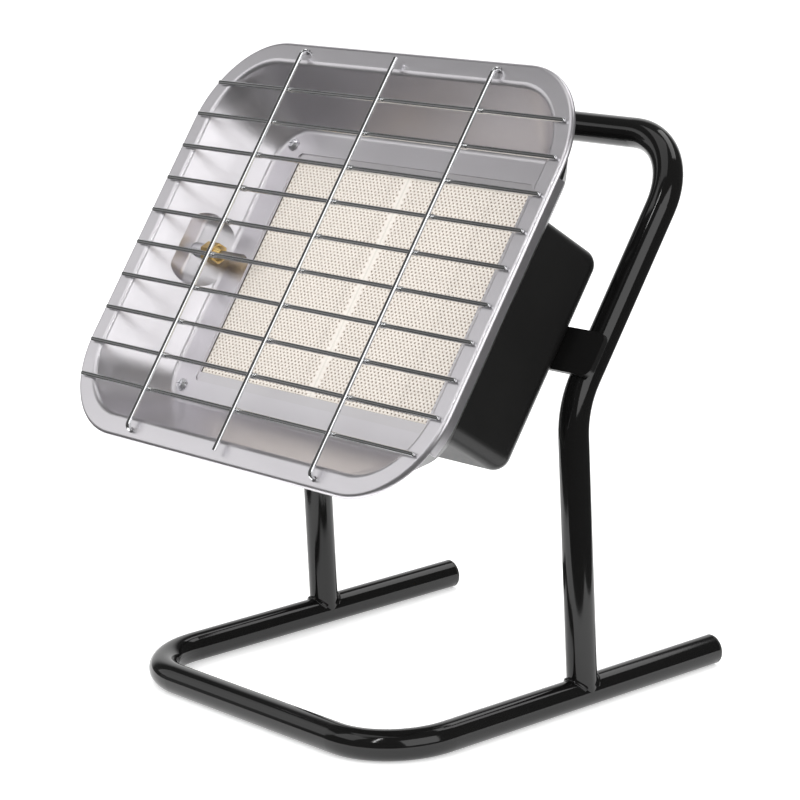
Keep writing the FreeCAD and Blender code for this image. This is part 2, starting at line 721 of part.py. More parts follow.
def make_tray():
    gauge = "sheet_gauge"
    tray = new_body("tray")
    rounded_plate(tray, TRAY, "0 - lip_depth", "lip_depth")
    round_edges(tray, "edge_bend", at_level("0"))
    inside = new_sketch(tray, level="0 - lip_depth")
    draw_rounded(inside, grown(TRAY, f"(0 - {gauge})"))
    pocket(tray, inside, f"lip_depth - {gauge}", reverse=True)
    round_edges(tray, f"edge_bend - {gauge}", at_level(f"0 - {gauge}"))

    # The lip is deep along the two sides only, from the lower corners to short of the upper ones
    relief = new_sketch(tray, level="0 - lip_depth")
    for way, start in ((1, "lip_top"), (-1, "lip_bottom")):
        height = f"({TRAY[1]} / 2 + edge_bend - {start})"
        draw_rectangle(relief, f"({TRAY[0]} + 2 * edge_bend)", height, y=f"{way} * ({start} + {height} / 2)")
    pocket(tray, relief, "lip_depth - edge_return", reverse=True)

    # Bowl: outer form first, then the recess that is pressed out of the left wall, then the hollow.
    # The recess has a steep flank at first, and then a slope that runs down to the bend of the floor.
    floor_shell = (f"({FLOOR[0]} + {gauge})", f"({FLOOR[1]} + {gauge})", "floor_corner")
    loft(tray, "Additive", [(grown(OPENING, gauge), f"0 - {gauge} / 2"), (floor_shell, f"0 - {FLOOR_BACK}")])
    round_edges(tray, f"floor_bend + {gauge}", at_level(f"0 - {FLOOR_BACK}"))
    flank = (f"({RECESS_FACE} - {RECESS_INNER})", "recess_height", "recess_corner")
    slope = (f"({RECESS_END} - {RECESS_INNER})", "recess_height", "recess_corner")
    flank_x = f"0 - ({RECESS_FACE} + {RECESS_INNER}) / 2"
    slope_x = f"0 - ({RECESS_END} + {RECESS_INNER}) / 2"
    shell = new_sketch(tray, level=f"0 - recess_step - {gauge} / 2")
    draw_rounded(shell, grown(flank, gauge), x=flank_x)
    pad(tray, shell, "recess_step")
    loft(tray, "Additive", [(grown(flank, gauge), f"0 - recess_step - {gauge} / 2", flank_x),
                            (grown(slope, gauge), f"recess_rise - bowl_depth - {gauge} / 2", slope_x)])
    loft(tray, "Subtractive", [(OPENING, "0"), (FLOOR, "0 - bowl_depth")])
    round_edges(tray, "floor_bend", at_level("0 - bowl_depth"))
    round_edges(tray, "rim_bend", at_level("0", within=f"{TRAY[0]} / 2 - edge_bend"))
    hollow = new_sketch(tray, level="0 - recess_step")
    draw_rounded(hollow, flank, x=flank_x)
    pocket(tray, hollow, "recess_step - rim_bend", reverse=True)
    loft(tray, "Subtractive", [(flank, "0 - recess_step", flank_x),
                               (slope, "recess_rise - bowl_depth", slope_x)])
    round_edges(tray, "recess_bend", at_level("0 - recess_step"))

    # Burner window, screw holes, hook holes and the hole for the thermocouple
    window = new_sketch(tray, level=f"0 - {FLOOR_BACK}")
    draw_rounded(window, (f"({CELL[0]} - 2 * window_lap)", f"({CELL[1]} + 2 * window_room)", "window_corner"))
    draw_four(window, SCREW_X, SCREW_Y, SCREW_HOLE)
    pocket(tray, window, f"2 * {gauge}", reverse=True)
    hooks = new_sketch(tray)
    draw_four(hooks, "long_wire_spacing", HOOK_Y, "hook_hole")
    pocket(tray, hooks, f"2 * {gauge}")
    probe = new_sketch(tray, "YZ_Plane", level=f"0 - {RECESS_BACK} - {gauge}")
    draw_circle(probe, "0", "0 - probe_depth", "spacer_dia + 2 * holder_hole_gap")
    pocket(tray, probe, f"{RECESS_BACK} + {gauge} - {RECESS_END}", reverse=True)
    keep("reflector_tray", tray, HEAD)


def make_guard():
    radius = number("wire_dia / 2")
    pitch = number("wire_pitch")
    corner = number("tray_corner")
    straight_x = number(f"{TRAY[0]} / 2") - corner
    straight_y = number(f"{TRAY[1]} / 2") - corner
    count = 2 * int(number(f"{OPENING[1]} / 2") // pitch)
    wires = []
    for row in range(count):
        y = (row - (count - 1) / 2) * pitch
        into_corner = max(abs(y) - straight_y, 0)
        half = straight_x + math.sqrt(corner ** 2 - into_corner ** 2) - number("wire_edge_gap")
        wire = doc.addObject("Part::Cylinder", f"cross_wire_{row}")
        bind(wire, "Radius", "wire_dia / 2")
        wire.Height = 2 * half
        wire.Placement = Placement(Vector(-half, y, radius), ALONG_X)
        doc.recompute()
        tips = doc.addObject("Part::Fillet", f"cross_wire_tips_{row}")
        tips.Base = wire
        rings = [n for n, edge in enumerate(wire.Shape.Edges, start=1) if edge.isClosed()]
        tips.Edges = [(n, number("wire_tip"), number("wire_tip")) for n in rings]
        wires.append(tips)
    cross = doc.addObject("Part::Compound", "cross_wires")
    cross.Links = wires
    keep("guard_cross_wires", cross, HEAD)

    # Long wires lie on the cross wires; the outer two hook into holes in the rim
    level = 3 * radius
    end = number(HOOK_Y)
    shapes = [Part.makeCylinder(radius, 2 * end, Vector(0, -end, level), Vector(0, 1, 0))]
    for x in (-number("long_wire_spacing"), number("long_wire_spacing")):
        low = -number("hook_reach")
        route = [Vector(x, y, z) for y, z in ((-end, low), (-end, level), (end, level), (end, low))]
        shapes.append(rod(bent_path(route, [number("hook_bend")] * 2), radius))
    solid("guard_long_wires", Part.makeCompound(shapes), HEAD)


# Burner


def make_plaques():
    frame = new_body("frame")
    sketch = new_sketch(frame, level=f"0 - {FRAME_BACK}")
    draw_rounded(sketch, FLANGE)
    view_width = f"({CELL[0]} - 2 * cement_width - 2 * frame_cover)"
    draw_rectangle(sketch, view_width, "(plaque_height - 2 * frame_cover)")
    draw_four(sketch, SCREW_X, SCREW_Y, SCREW_HOLE)
    pad(frame, sketch, "sheet_gauge")
    keep("plaque_frame", frame, HEAD)

    sides = (("left", "0 - plaque_width - plaque_joint / 2"), ("right", "plaque_joint / 2"))
    for name, start in sides:
        plaque = doc.addObject("Part::Box", f"plaque_{name}")
        bind(plaque, "Length", "plaque_width")
        bind(plaque, "Width", "plaque_height")
        bind(plaque, "Height", "plaque_gauge")
        place = HEAD * spot(start, "0 - plaque_height / 2", f"0 - {PLAQUE_BACK}")
        keep(f"ceramic_plaque_{name}", plaque, place)

    cement = new_body("cement")
    sketch = new_sketch(cement, level=f"0 - {PLAQUE_BACK}")
    draw_rounded(sketch, CELL)
    for way in (-1, 1):
        middle = f"{way} * (plaque_width + plaque_joint) / 2"
        draw_rectangle(sketch, "plaque_width", "plaque_height", x=middle)
    pad(cement, sketch, "plaque_gauge")
    keep("plaque_cement", cement, HEAD)

    gasket = new_body("gasket")
    sketch = new_sketch(gasket, level=f"0 - {LEDGE_FRONT}")
    draw_rounded(sketch, CELL)
    draw_rounded(sketch, TROUGH)
    pad(gasket, sketch, "gasket_gauge")
    keep("plaque_gasket", gasket, HEAD)


def make_burner():
    gauge = "sheet_gauge"
    plenum = new_body("plenum")
    flange = new_sketch(plenum, level=f"0 - {FLANGE_BACK}")
    draw_rounded(flange, FLANGE)
    draw_four(flange, SCREW_X, SCREW_Y, SCREW_HOLE)
    pad(plenum, flange, gauge)
    rounded_plate(plenum, grown(CELL, gauge), f"0 - {LEDGE_BACK}", f"{LEDGE_BACK} - {FRAME_BACK}")
    loft(plenum, "Additive", [(grown(TROUGH, gauge), f"0 - {LEDGE_FRONT} - {gauge} / 2"),
                              (grown(TROUGH_FLOOR, gauge), f"0 - {TROUGH_BACK}")])
    room = new_sketch(plenum, level=f"0 - {LEDGE_FRONT}")
    draw_rounded(room, CELL)
    pocket(plenum, room, f"{LEDGE_FRONT} - {FRAME_BACK}", reverse=True)
    loft(plenum, "Subtractive", [(TROUGH, f"0 - {LEDGE_FRONT}"), (TROUGH_FLOOR, f"0 - {TROUGH_FRONT}")])
    port = new_sketch(plenum, level=f"0 - {TROUGH_BACK}")
    draw_circle(port, PORT_X, GAS_Y, "mixer_dia - 2 * mixer_wall")
    pocket(plenum, port, f"2 * {gauge}", reverse=True)
    keep("burner_plenum", plenum, HEAD)

    # Baffle wedged in the tapering trough, with a grid of holes
    inset = f"(trough_run * (diffuser_drop + {gauge}) / trough_depth + diffuser_gap)"
    outline = (f"({TROUGH[0]} - 2 * {inset})", f"({TROUGH[1]} - 2 * {inset})", "trough_corner")
    diffuser = new_body("diffuser")
    sketch = new_sketch(diffuser, level=f"0 - {LEDGE_FRONT} - diffuser_drop - {gauge}")
    draw_rounded(sketch, outline)
    across = int(number(f"({outline[0]} / 2 - diffuser_hole) / diffuser_pitch"))
    upward = int(number(f"({outline[1]} / 2 - diffuser_hole) / diffuser_pitch"))
    for i in range(-across, across + 1):
        for j in range(-upward, upward + 1):
            x = f"{i} * diffuser_pitch" if i else "0"
            y = f"{j} * diffuser_pitch" if j else "0"
            draw_circle(sketch, x, y, "diffuser_hole")
    pad(diffuser, sketch, gauge)
    keep("diffuser_plate", diffuser, HEAD)

    # Mixing tube: bell mouth at the jet, elbow into the plenum's back
    y = number(GAS_Y)
    z = -number(GAS_DEPTH)
    radius = number("mixer_dia / 2")
    wall = number("mixer_wall")
    length = number("bell_length")
    flare = radius + number("bell_flare")
    mouth = Vector(number(MOUTH_X), y, z)
    throat = mouth + Vector(length, 0, 0)
    elbow = Vector(number(PORT_X), y, z)
    bend = number("(mixer_dia + mixer_gap_front) / 2")
    path = bent_path([throat, elbow, Vector(elbow.x, y, -number(TROUGH_BACK))], [bend])
    bell = Part.makeCone(flare, radius, length, mouth, Vector(1, 0, 0))
    bell = bell.cut(Part.makeCone(flare - wall, radius - wall, length, mouth, Vector(1, 0, 0)))
    solid("mixing_tube", tube(path, radius, wall).fuse(bell).removeSplitter(), HEAD)


def make_screws():
    screw = new_body("screw")
    revolve(screw, [("0", "0 - screw_length"), ("screw_dia / 2", "0 - screw_length"), ("screw_dia / 2", "0"),
                    ("screw_head / 2", "0"), ("screw_head / 2", "screw_head_edge"),
                    ("screw_crown / 2", "screw_head_height"), ("0", "screw_head_height")])
    cross = new_sketch(screw, level="screw_head_height")
    arm = "screw_slot_length / 2"
    web = "screw_slot_width / 2"
    quarter = [(web, arm), (web, web), (arm, web)]
    outline = []
    for i, j in ((1, 1), (1, -1), (-1, -1), (-1, 1)):
        turn = quarter if i == j else quarter[::-1]
        outline += [(f"{i} * {x}", f"{j} * {y}") for x, y in turn]
    draw_outline(cross, outline)
    pocket(screw, cross, "screw_slot_depth")
    corners = [(f"{i} * {SCREW_X}", f"{j} * {SCREW_Y}") for i in (-1, 1) for j in (-1, 1)]
    group("tray_screws", screw, [spot(x, y, "0 - bowl_depth") for x, y in corners], HEAD)

    nut = new_body("nut")
    sketch = new_sketch(nut)
    draw_hexagon(sketch, "nut_across")
    draw_circle(sketch, "0", "0", "screw_dia + 2 * thread_gap")
    pad(nut, sketch, "nut_height", reverse=True)
    group("tray_nuts", nut, [spot(x, y, f"0 - {FLANGE_BACK}") for x, y in corners], HEAD)


# Rear covers


def make_covers():
    pan = new_body("pan")
    rounded_plate(pan, PAN_EDGE, "0 - lip_depth", "lip_depth - edge_bend")
    loft(pan, "Additive", [(PAN_EDGE, "0 - lip_depth"), (PAN_SHOULDER, "0 - bowl_depth"),
                           (PAN_BACK, f"0 - {PAN_DEPTH}")])
    skirt = new_sketch(pan, level="0 - lip_depth")
    draw_rounded(skirt, grown(PAN_EDGE, "(0 - pan_wall)"))
    pocket(pan, skirt, "lip_depth", reverse=True)
    # The hollow ends one sheet gauge above the back, where the slope is this much wider
    share = f"sheet_gauge / ({PAN_DEPTH} - bowl_depth)"
    back = (f"({b} + ({a} - {b}) * {share} - 2 * pan_wall)" for a, b in zip(PAN_SHOULDER[:2], PAN_BACK[:2]))
    loft(pan, "Subtractive", [(grown(PAN_EDGE, "(0 - pan_wall)"), "0 - lip_depth"),
                              (grown(PAN_SHOULDER, "(0 - pan_wall)"), "0 - bowl_depth"),
                              ((*back, "pan_back_corner"), f"0 - {PAN_DEPTH} + sheet_gauge")])
    opening = new_sketch(pan, level=f"0 - {PAN_DEPTH}")
    draw_rounded(opening, grown(BOX, "(0 - box_gauge - pan_lap)"), y="0 - box_drop")
    pocket(pan, opening, "2 * sheet_gauge", reverse=True)
    # Cut-out in the left slope round the pressed recess and the thermocouple
    cutout = new_sketch(pan, "YZ_Plane", level=f"0 - {TRAY[0]} / 2")
    height = f"({PAN_DEPTH} - lip_depth - 2 * pan_slot_margin)"
    middle = f"0 - ({PAN_DEPTH} + lip_depth) / 2"
    draw_rectangle(cutout, "(recess_height + 2 * pan_slot_margin)", height, y=middle)
    pocket(pan, cutout, f"{TRAY[0]} / 2 - {FLOOR[0]} / 2 + pan_slot_margin", reverse=True)
    keep("rear_pan", pan, HEAD)

    box = new_body("box")
    rounded_plate(box, BOX, f"0 - {BOX_DEPTH}", f"{BOX_DEPTH} - {PAN_DEPTH}", y="0 - box_drop")
    room = new_sketch(box, level=f"0 - {PAN_DEPTH}")
    draw_rounded(room, grown(BOX, "(0 - box_gauge)"), y="0 - box_drop")
    pocket(box, room, f"{BOX_DEPTH} - {PAN_DEPTH} - box_gauge")
    round_edges(box, "box_edge - box_gauge", at_level(f"box_gauge - {BOX_DEPTH}"))
    round_edges(box, "box_edge", at_level(f"0 - {BOX_DEPTH}"))
    holes = new_sketch(box, level=f"0 - {BOX_DEPTH}")
    for way in (-1, 1):
        draw_circle(holes, f"{way} * bolt_spacing / 2", "strap_rise", BOLT_HOLE)
    pocket(box, holes, "2 * box_gauge", reverse=True)
    side = new_sketch(box, "YZ_Plane", level=f"0 - {BOX_SIDE} - box_gauge")
    draw_circle(side, GAS_Y, f"0 - {GAS_DEPTH}", "neck_dia + 2 * neck_hole_gap")
    for row in range(SIZES["air_slots"]):
        draw_rectangle(side, "air_slot_width", "air_slot_length", x=f"{row + 1} * air_slot_pitch",
                       y=f"0 - ({BOX_DEPTH} + {PAN_DEPTH}) / 2")
    pocket(box, side, "3 * box_gauge", reverse=True)
    keep("rear_box", box, HEAD)


# Gas valve with its push button, in line with the jet


def make_valve():
    # The body is turned about the button's axis; its own Z runs up the face from the foot
    valve = new_body("valve")
    edge = "valve_dia / 2"
    revolve(valve, [("0", "0"), (edge, "0"), (edge, "valve_length"), ("0", "valve_length")])
    branches = (("outlet_height", "neck_flange_dia", "valve_out", False),
                ("outlet_height", "neck_dia", "valve_out + neck_reach", False),
                ("inlet_height", "inlet_boss_dia", f"{edge} + inlet_boss_reach", True))
    for height, diameter, reach, reverse in branches:
        branch = new_sketch(valve, "YZ_Plane")
        draw_circle(branch, "0", height, diameter)
        pad(valve, branch, reach, reverse)
    chamber_dia = "(magnet_dia + 2 * magnet_gap)"
    seat_top = "valve_length - chamber_depth"
    for diameter, top, depth in ((chamber_dia, "valve_length", "chamber_depth"),
                                 ("seat_bore", seat_top, "seat_gauge"),
                                 ("lower_chamber_dia", f"{seat_top} - seat_gauge", "lower_chamber_depth"),
                                 ("(stem_dia + 2 * stem_clearance)", seat_top, seat_top)):
        bore = new_sketch(valve, level=top)
        draw_circle(bore, "0", "0", diameter)
        pocket(valve, bore, depth)
    for diameter, depth in (("outlet_bore", "valve_out + neck_reach"),
                            ("(jet_thread_dia + 2 * thread_gap)", "jet_thread_length")):
        passage = new_sketch(valve, "YZ_Plane", level="valve_out + neck_reach")
        draw_circle(passage, "0", "outlet_height", diameter)
        pocket(valve, passage, depth)
    feed = new_sketch(valve, "YZ_Plane", level=f"0 - {edge} - inlet_boss_reach")
    draw_circle(feed, "0", "inlet_height", "gas_bore")
    pocket(valve, feed, f"{edge} + inlet_boss_reach", reverse=True)
    keep("valve_body", valve, HEAD * spot(VALVE_X, VALVE_FOOT_Y, f"0 - {GAS_DEPTH}", ALONG_Y))

    neck_nut = new_body("neck_nut")
    sketch = new_sketch(neck_nut)
    draw_hexagon(sketch, "neck_nut_across")
    draw_circle(sketch, "0", "0", "neck_dia + 2 * thread_gap")
    pad(neck_nut, sketch, "neck_nut_height")
    place = HEAD * spot(f"box_gauge - {BOX_SIDE}", GAS_Y, f"0 - {GAS_DEPTH}", ALONG_X)
    keep("valve_neck_nut", neck_nut, place)

    jet = new_body("jet")
    grip = new_sketch(jet)
    draw_hexagon(grip, "jet_across")
    pad(jet, grip, "jet_hex_length")
    thread = new_sketch(jet)
    draw_circle(thread, "0", "0", "jet_thread_dia")
    pad(jet, thread, "jet_thread_length", reverse=True)
    tip = new_sketch(jet, level="jet_hex_length")
    draw_circle(tip, "0", "0", "jet_tip_dia")
    pad(jet, tip, "jet_tip_length")
    orifice = new_sketch(jet, level="jet_hex_length + jet_tip_length")
    draw_circle(orifice, "0", "0", "jet_orifice")
    pocket(jet, orifice, "jet_hex_length + jet_tip_length + jet_thread_length")
    keep("injector_jet", jet, HEAD * spot(JET_X, GAS_Y, f"0 - {GAS_DEPTH}", ALONG_X))

    # Magnet unit screwed into the top of the valve, with the lead's nut on its neck
    magnet = new_body("magnet")
    insert, flange, neck = "magnet_dia / 2", "magnet_flange_dia / 2", "magnet_neck_dia / 2"
    revolve(magnet, [("0", "0 - magnet_insert"), (insert, "0 - magnet_insert"), (insert, "0"), (flange, "0"),
                     (flange, "magnet_flange_length"), (neck, "magnet_flange_length"),
                     (neck, "magnet_neck_length"), ("0", "magnet_neck_length")])
    keep("magnet_unit", magnet, HEAD * spot(VALVE_X, VALVE_TOP_Y, f"0 - {GAS_DEPTH}", ALONG_Y))
    fitting = new_body("fitting")
    bore = "(lead_dia / 2 + thread_gap)"
    revolve(fitting, [(bore, "0"), ("fitting_dia / 2", "0"), ("fitting_dia / 2", "fitting_grip"),
                      ("lead_dia", "fitting_length"), (bore, "fitting_length")])
    place = HEAD * spot(VALVE_X, f"{VALVE_TOP_Y} + magnet_neck_length", f"0 - {GAS_DEPTH}", ALONG_Y)
    keep("lead_fitting", fitting, place)


def make_inlet():
    place = HEAD * spot(INLET_X, INLET_Y, f"0 - {GAS_DEPTH}", AGAINST_X)
    spigot = "(inlet_thread_dia / 2 - thread_gap)"
    washer = new_body("ring")
    hole, edge = "inlet_thread_dia / 2", "inlet_boss_dia / 2"
    revolve(washer, [(hole, "0"), (edge, "0"), (edge, "inlet_washer_gauge"), (hole, "inlet_washer_gauge")])
    keep("inlet_washer", washer, place)

    inlet = new_body("inlet")
    grip = new_sketch(inlet, level="inlet_washer_gauge")
    draw_hexagon(grip, "inlet_across")
    pad(inlet, grip, "inlet_hex_length")
    thread_start = "inlet_washer_gauge + inlet_hex_length"
    for level, diameter, length in (("0", f"2 * {spigot}", "inlet_washer_gauge"),
                                    (thread_start, "inlet_thread_dia", "inlet_thread_length")):
        sketch = new_sketch(inlet, level=level)
        draw_circle(sketch, "0", "0", diameter)
        pad(inlet, sketch, length)
    bore = new_sketch(inlet)
    draw_circle(bore, "0", "0", "gas_bore")
    pocket(inlet, bore, "inlet_washer_gauge + inlet_hex_length + inlet_thread_length", reverse=True)
    keep("gas_inlet", inlet, place)


def make_button():
    # Moving pieces: disc above its seat, stem through the guide bore, button below the foot
    disc = new_body("disc")
    revolve(disc, [("0", "0"), ("disc_dia / 2", "0"), ("disc_dia / 2", "disc_gauge"), ("0", "disc_gauge")])
    keep("valve_disc", disc, HEAD * spot(VALVE_X, f"{SEAT_Y} + disc_lift", f"0 - {GAS_DEPTH}", ALONG_Y))

    stem = new_body("stem")
    foot = f"({BUTTON_Y} - spring_well_depth)"
    length = f"({SEAT_Y} + disc_lift - {foot})"
    revolve(stem, [("0", "0"), ("stem_dia / 2", "0"), ("stem_dia / 2", length), ("0", length)])
    keep("button_stem", stem, HEAD * spot(VALVE_X, foot, f"0 - {GAS_DEPTH}", ALONG_Y))

    button = new_body("button")
    well = "(spring_dia / 2 + spring_well_gap)"
    rim = "button_dia / 2"
    revolve(button, [("0", "0 - spring_well_depth"), (well, "0 - spring_well_depth"), (well, "0"), (rim, "0"),
                     (rim, "button_edge - button_height"), (f"{rim} - button_edge", "0 - button_height"),
                     ("0", "0 - button_height")])
    keep("valve_button", button, HEAD * spot(VALVE_X, BUTTON_Y, f"0 - {GAS_DEPTH}", ALONG_Y))

    spring = coil(number(f"{BUTTON_GAP} + spring_well_depth"))
    solid("button_spring", spring, HEAD * spot(VALVE_X, VALVE_FOOT_Y, f"0 - {GAS_DEPTH}", AGAINST_Y))


def biarc(start, leave, end, arrive):
    """Two arcs that run from one point to another and keep both directions."""
    chord = end - start
    slack = 2 * (1 - leave.dot(arrive))
    along = chord.dot(leave + arrive)
    reach = (-along + math.sqrt(along ** 2 + slack * chord.dot(chord))) / slack
    first = start + leave * reach
    second = end - arrive * reach
    joint = (first + second) / 2
    arcs = []
    for near, corner, far in ((start, first, joint), (joint, second, end)):
        half = (near - corner).getAngle(far - corner) / 2
        arcs.append(corner_arc(near, corner, far, reach * math.tan(half)).toShape())
    return arcs


def coil(height):
    """Compression spring that stands on the XY plane, its wire one unbroken tube."""
    wire = number("spring_wire / 2")
    radius = number("spring_dia / 2") - wire
    turns = number("spring_turns")
    rise = height - 4 * wire
    steps = round(4 * turns)
    places = []
    for k in range(steps + 1):
        angle = 2 * math.pi * turns * k / steps
        point = Vector(radius * math.cos(angle), radius * math.sin(angle), 2 * wire + rise * k / steps)
        slope = rise / turns / (2 * math.pi)
        places.append((point, Vector(-point.y, point.x, slope).normalize()))
    edges = []
    for (start, leave), (end, arrive) in zip(places, places[1:]):
        edges += biarc(start, leave, end, arrive)
    path = Part.Wire(edges)
    points = path.discretize(Number=steps * COIL_POINTS)
    half_turn = 2 * COIL_POINTS
    gaps = [a.distanceToPoint(b) for i, a in enumerate(points) for b in points[i + half_turn:]]
    print(f"button spring: {turns:g} turns, least gap to itself {min(gaps) - 2 * wire:.2f} mm")
    return rod(path, wire)


# Thermocouple in the pressed recess, and its lead to the magnet unit


def make_thermocouple():
    depth = "0 - probe_depth"
    # The bracket lies flat on the outer side of the recess's flank and reaches down behind its slope
    bracket = new_body("bracket")
    plate = new_sketch(bracket, "YZ_Plane", level=f"0 - {BRACKET_BACK}")
    outline = ("bracket_width", "(bracket_bottom - bracket_top)", "bracket_corner")
    draw_rounded(plate, outline, y="0 - (bracket_top + bracket_bottom) / 2")
    draw_circle(plate, "0", depth, "holder_tail_dia + 2 * holder_hole_gap")
    pad(bracket, plate, "bracket_gauge")
    keep("thermocouple_bracket", bracket, HEAD)

    # A plain spacer stands on the bracket through the hole in the flank, and the holder's hexagon bears on it
    spacer = new_body("spacer")
    sketch = new_sketch(spacer)
    draw_circle(sketch, "0", "0", "spacer_dia")
    draw_circle(sketch, "0", "0", "holder_tail_dia + 2 * thread_gap")
    pad(spacer, sketch, "spacer_length")
    keep("thermocouple_spacer", spacer, HEAD * spot(f"0 - {RECESS_BACK}", "0", depth, ALONG_X))

    # The holder's own Z runs inwards from the outer end of its tail
    holder = new_body("holder")
    tail_x = f"(0 - {BRACKET_BACK} - holder_tail)"
    bore = "(probe_dia / 2 + thread_gap)"
    grip = "(holder_tail + bracket_gauge + spacer_length)"
    front = f"({grip} + holder_hex_length)"
    tail = "holder_tail_dia / 2"
    revolve(holder, [(bore, "0"), (tail, "0"), (tail, grip), (bore, grip)])
    sketch = new_sketch(holder, level=grip)
    draw_hexagon(sketch, "holder_across")
    draw_circle(sketch, "0", "0", f"2 * {bore}")
    pad(holder, sketch, "holder_hex_length")
    tip = f"{front} + holder_nose"
    revolve(holder, [(bore, front), ("holder_nose_dia / 2", front), ("holder_nose_end / 2", tip),
                     (bore, tip)])
    keep("thermocouple_holder", holder, HEAD * spot(tail_x, "0", depth, ALONG_X))

    locknut = new_body("locknut")
    sketch = new_sketch(locknut)
    draw_hexagon(sketch, "locknut_across")
    draw_circle(sketch, "0", "0", "holder_tail_dia + 2 * thread_gap")
    pad(locknut, sketch, "locknut_height")
    keep("thermocouple_locknut", locknut, HEAD * spot(f"0 - {BRACKET_BACK}", "0", depth, AGAINST_X))

    probe = new_body("probe")
    length = "(probe_tail + bracket_gauge + sheet_gauge + probe_reach)"
    revolve(probe, [("0", "0"), ("probe_dia / 2", "0"), ("probe_dia / 2", f"{length} - probe_dia / 2"),
                    ("probe_dia / 4", length), ("0", length)])
    tail_end = f"0 - {BRACKET_BACK} - probe_tail"
    keep("thermocouple_probe", probe, HEAD * spot(tail_end, "0", depth, ALONG_X))

    # The lead leaves the probe, turns back beside the pan and drops into the magnet unit's fitting
    start = spot(tail_end, "0", depth).Base
    end = spot(VALVE_X, f"{VALVE_TOP_Y} + magnet_neck_length", f"0 - {GAS_DEPTH}").Base
    exit_point = start - Vector(number("lead_exit"), 0, 0)
    beside = exit_point + Vector(0, number("lead_rise"), -number("lead_back"))
    above = end + Vector(0, number("lead_loop"), 0)
    over = (exit_point + above * 2) / 3
    over = Vector(over.x, above.y, above.z + number("lead_rise"))
    path = bent_path([start, exit_point, beside, over, above, end])
    solid("thermocouple_lead", rod(path, number("lead_dia / 2")), HEAD)


make_stand()
make_strap()
make_tray()
make_guard()
make_plaques()
make_burner()
make_screws()
make_covers()
make_valve()
make_inlet()
make_button()
make_thermocouple()
doc.removeObject(answers.Name)
doc.recompute()

for item in doc.Objects:
    if "Invalid" in item.State or "Error" in item.State:
        raise RuntimeError(f"{item.Name} failed: {item.State}")
for label, feature in parts.items():
    if feature.Shape.isNull() or not feature.Shape.isValid():
        raise RuntimeError(f"{label} has no valid shape")

os.makedirs("parts", exist_ok=True)
for label, feature in parts.items():
    feature.Shape.exportStep(f"parts/{label}.step")
print(f"{len(parts)} sub-parts written")
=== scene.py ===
# %% [markdown]
# # A gas radiant heater, dressed from its CAD model
# The heater is already exact in CAD: every tube, sheet and screw has its size and place. Blender adds
# what CAD leaves out: the finishes, the light, and the forms that are too fine for solids, such as the
# holes in the ceramic, the welds of the guard and the thread of the gas inlet. Nothing that CAD made is
# moved.

import json
import math

import bpy
import numpy as np
from mathutils import Matrix, Vector


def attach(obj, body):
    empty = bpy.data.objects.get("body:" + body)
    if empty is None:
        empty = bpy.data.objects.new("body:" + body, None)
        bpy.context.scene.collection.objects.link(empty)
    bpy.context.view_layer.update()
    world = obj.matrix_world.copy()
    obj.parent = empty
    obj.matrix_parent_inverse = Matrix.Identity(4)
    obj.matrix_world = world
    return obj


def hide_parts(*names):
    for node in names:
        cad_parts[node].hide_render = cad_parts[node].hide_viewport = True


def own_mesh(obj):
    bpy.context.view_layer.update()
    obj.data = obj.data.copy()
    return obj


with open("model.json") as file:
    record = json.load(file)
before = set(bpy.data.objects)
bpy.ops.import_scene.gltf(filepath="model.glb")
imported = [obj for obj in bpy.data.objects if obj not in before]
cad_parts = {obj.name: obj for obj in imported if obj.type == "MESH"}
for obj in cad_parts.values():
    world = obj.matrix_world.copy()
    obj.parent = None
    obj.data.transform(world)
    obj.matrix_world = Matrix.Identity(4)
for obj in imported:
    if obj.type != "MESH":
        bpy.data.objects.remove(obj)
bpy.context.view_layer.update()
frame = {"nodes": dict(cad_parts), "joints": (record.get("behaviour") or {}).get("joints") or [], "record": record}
nodes = frame["nodes"]
scene = bpy.context.scene
scene.view_settings.view_transform = "Standard"
print("loaded", len(nodes), "nodes")

# %% [markdown]
# ## The head's own directions
# The head leans back on its stand. Patterns and small pieces on it are far easier to place in directions
# of its own: across the face, up the face, and out of the face. The angle could be typed in again, but
# then it would have to follow every change in CAD. The button slides straight up the face, so its joint
# already holds the second direction, and the tray's corner points give the middle of the face.

# %% Find the head
MM = 0.001
ACROSS = np.array([1.0, 0.0, 0.0])
UP_FACE = np.array(frame["joints"][0]["axis"], dtype=float)
OUT = np.cross(ACROSS, UP_FACE)
HEAD_AXES = np.array([ACROSS, UP_FACE, OUT])


def node_points(name):
    """The corner points of a CAD node's mesh, as an (n, 3) array in metres."""
    vertices = nodes[name].data.vertices
    flat = np.empty(3 * len(vertices), dtype=np.float32)
    vertices.foreach_get("co", flat)
    return flat.reshape(-1, 3).astype(float)


tray_local = node_points("reflector_tray") @ HEAD_AXES.T
tray_low, tray_high = tray_local.min(axis=0), tray_local.max(axis=0)
rim_middle = np.array([0.0, (tray_low[1] + tray_high[1]) / 2, tray_high[2]])
HEAD_CENTRE = rim_middle @ HEAD_AXES
HEAD_TURN = math.atan2(UP_FACE[2], UP_FACE[1])
print("head centre", HEAD_CENTRE.round(4), "leaning", round(90 - math.degrees(HEAD_TURN), 1), "degrees")


# %% To the head's directions and back
def to_head(name):
    """A node's corner points in the head's directions, measured from the head's centre."""
    return (node_points(name) - HEAD_CENTRE) @ HEAD_AXES.T


def span(name):
    """Lowest and highest reach of a node across, up and out of the face."""
    local = to_head(name)
    return local.min(axis=0), local.max(axis=0)


def from_head(local):
    """Points in the heater's frame: centre + X times across + Y times up + Z times out."""
    return HEAD_CENTRE + np.asarray(local) @ HEAD_AXES


tray_low, tray_high = span("reflector_tray")
print("tray", ((tray_high - tray_low) / MM).round(1), "mm across, up and deep")

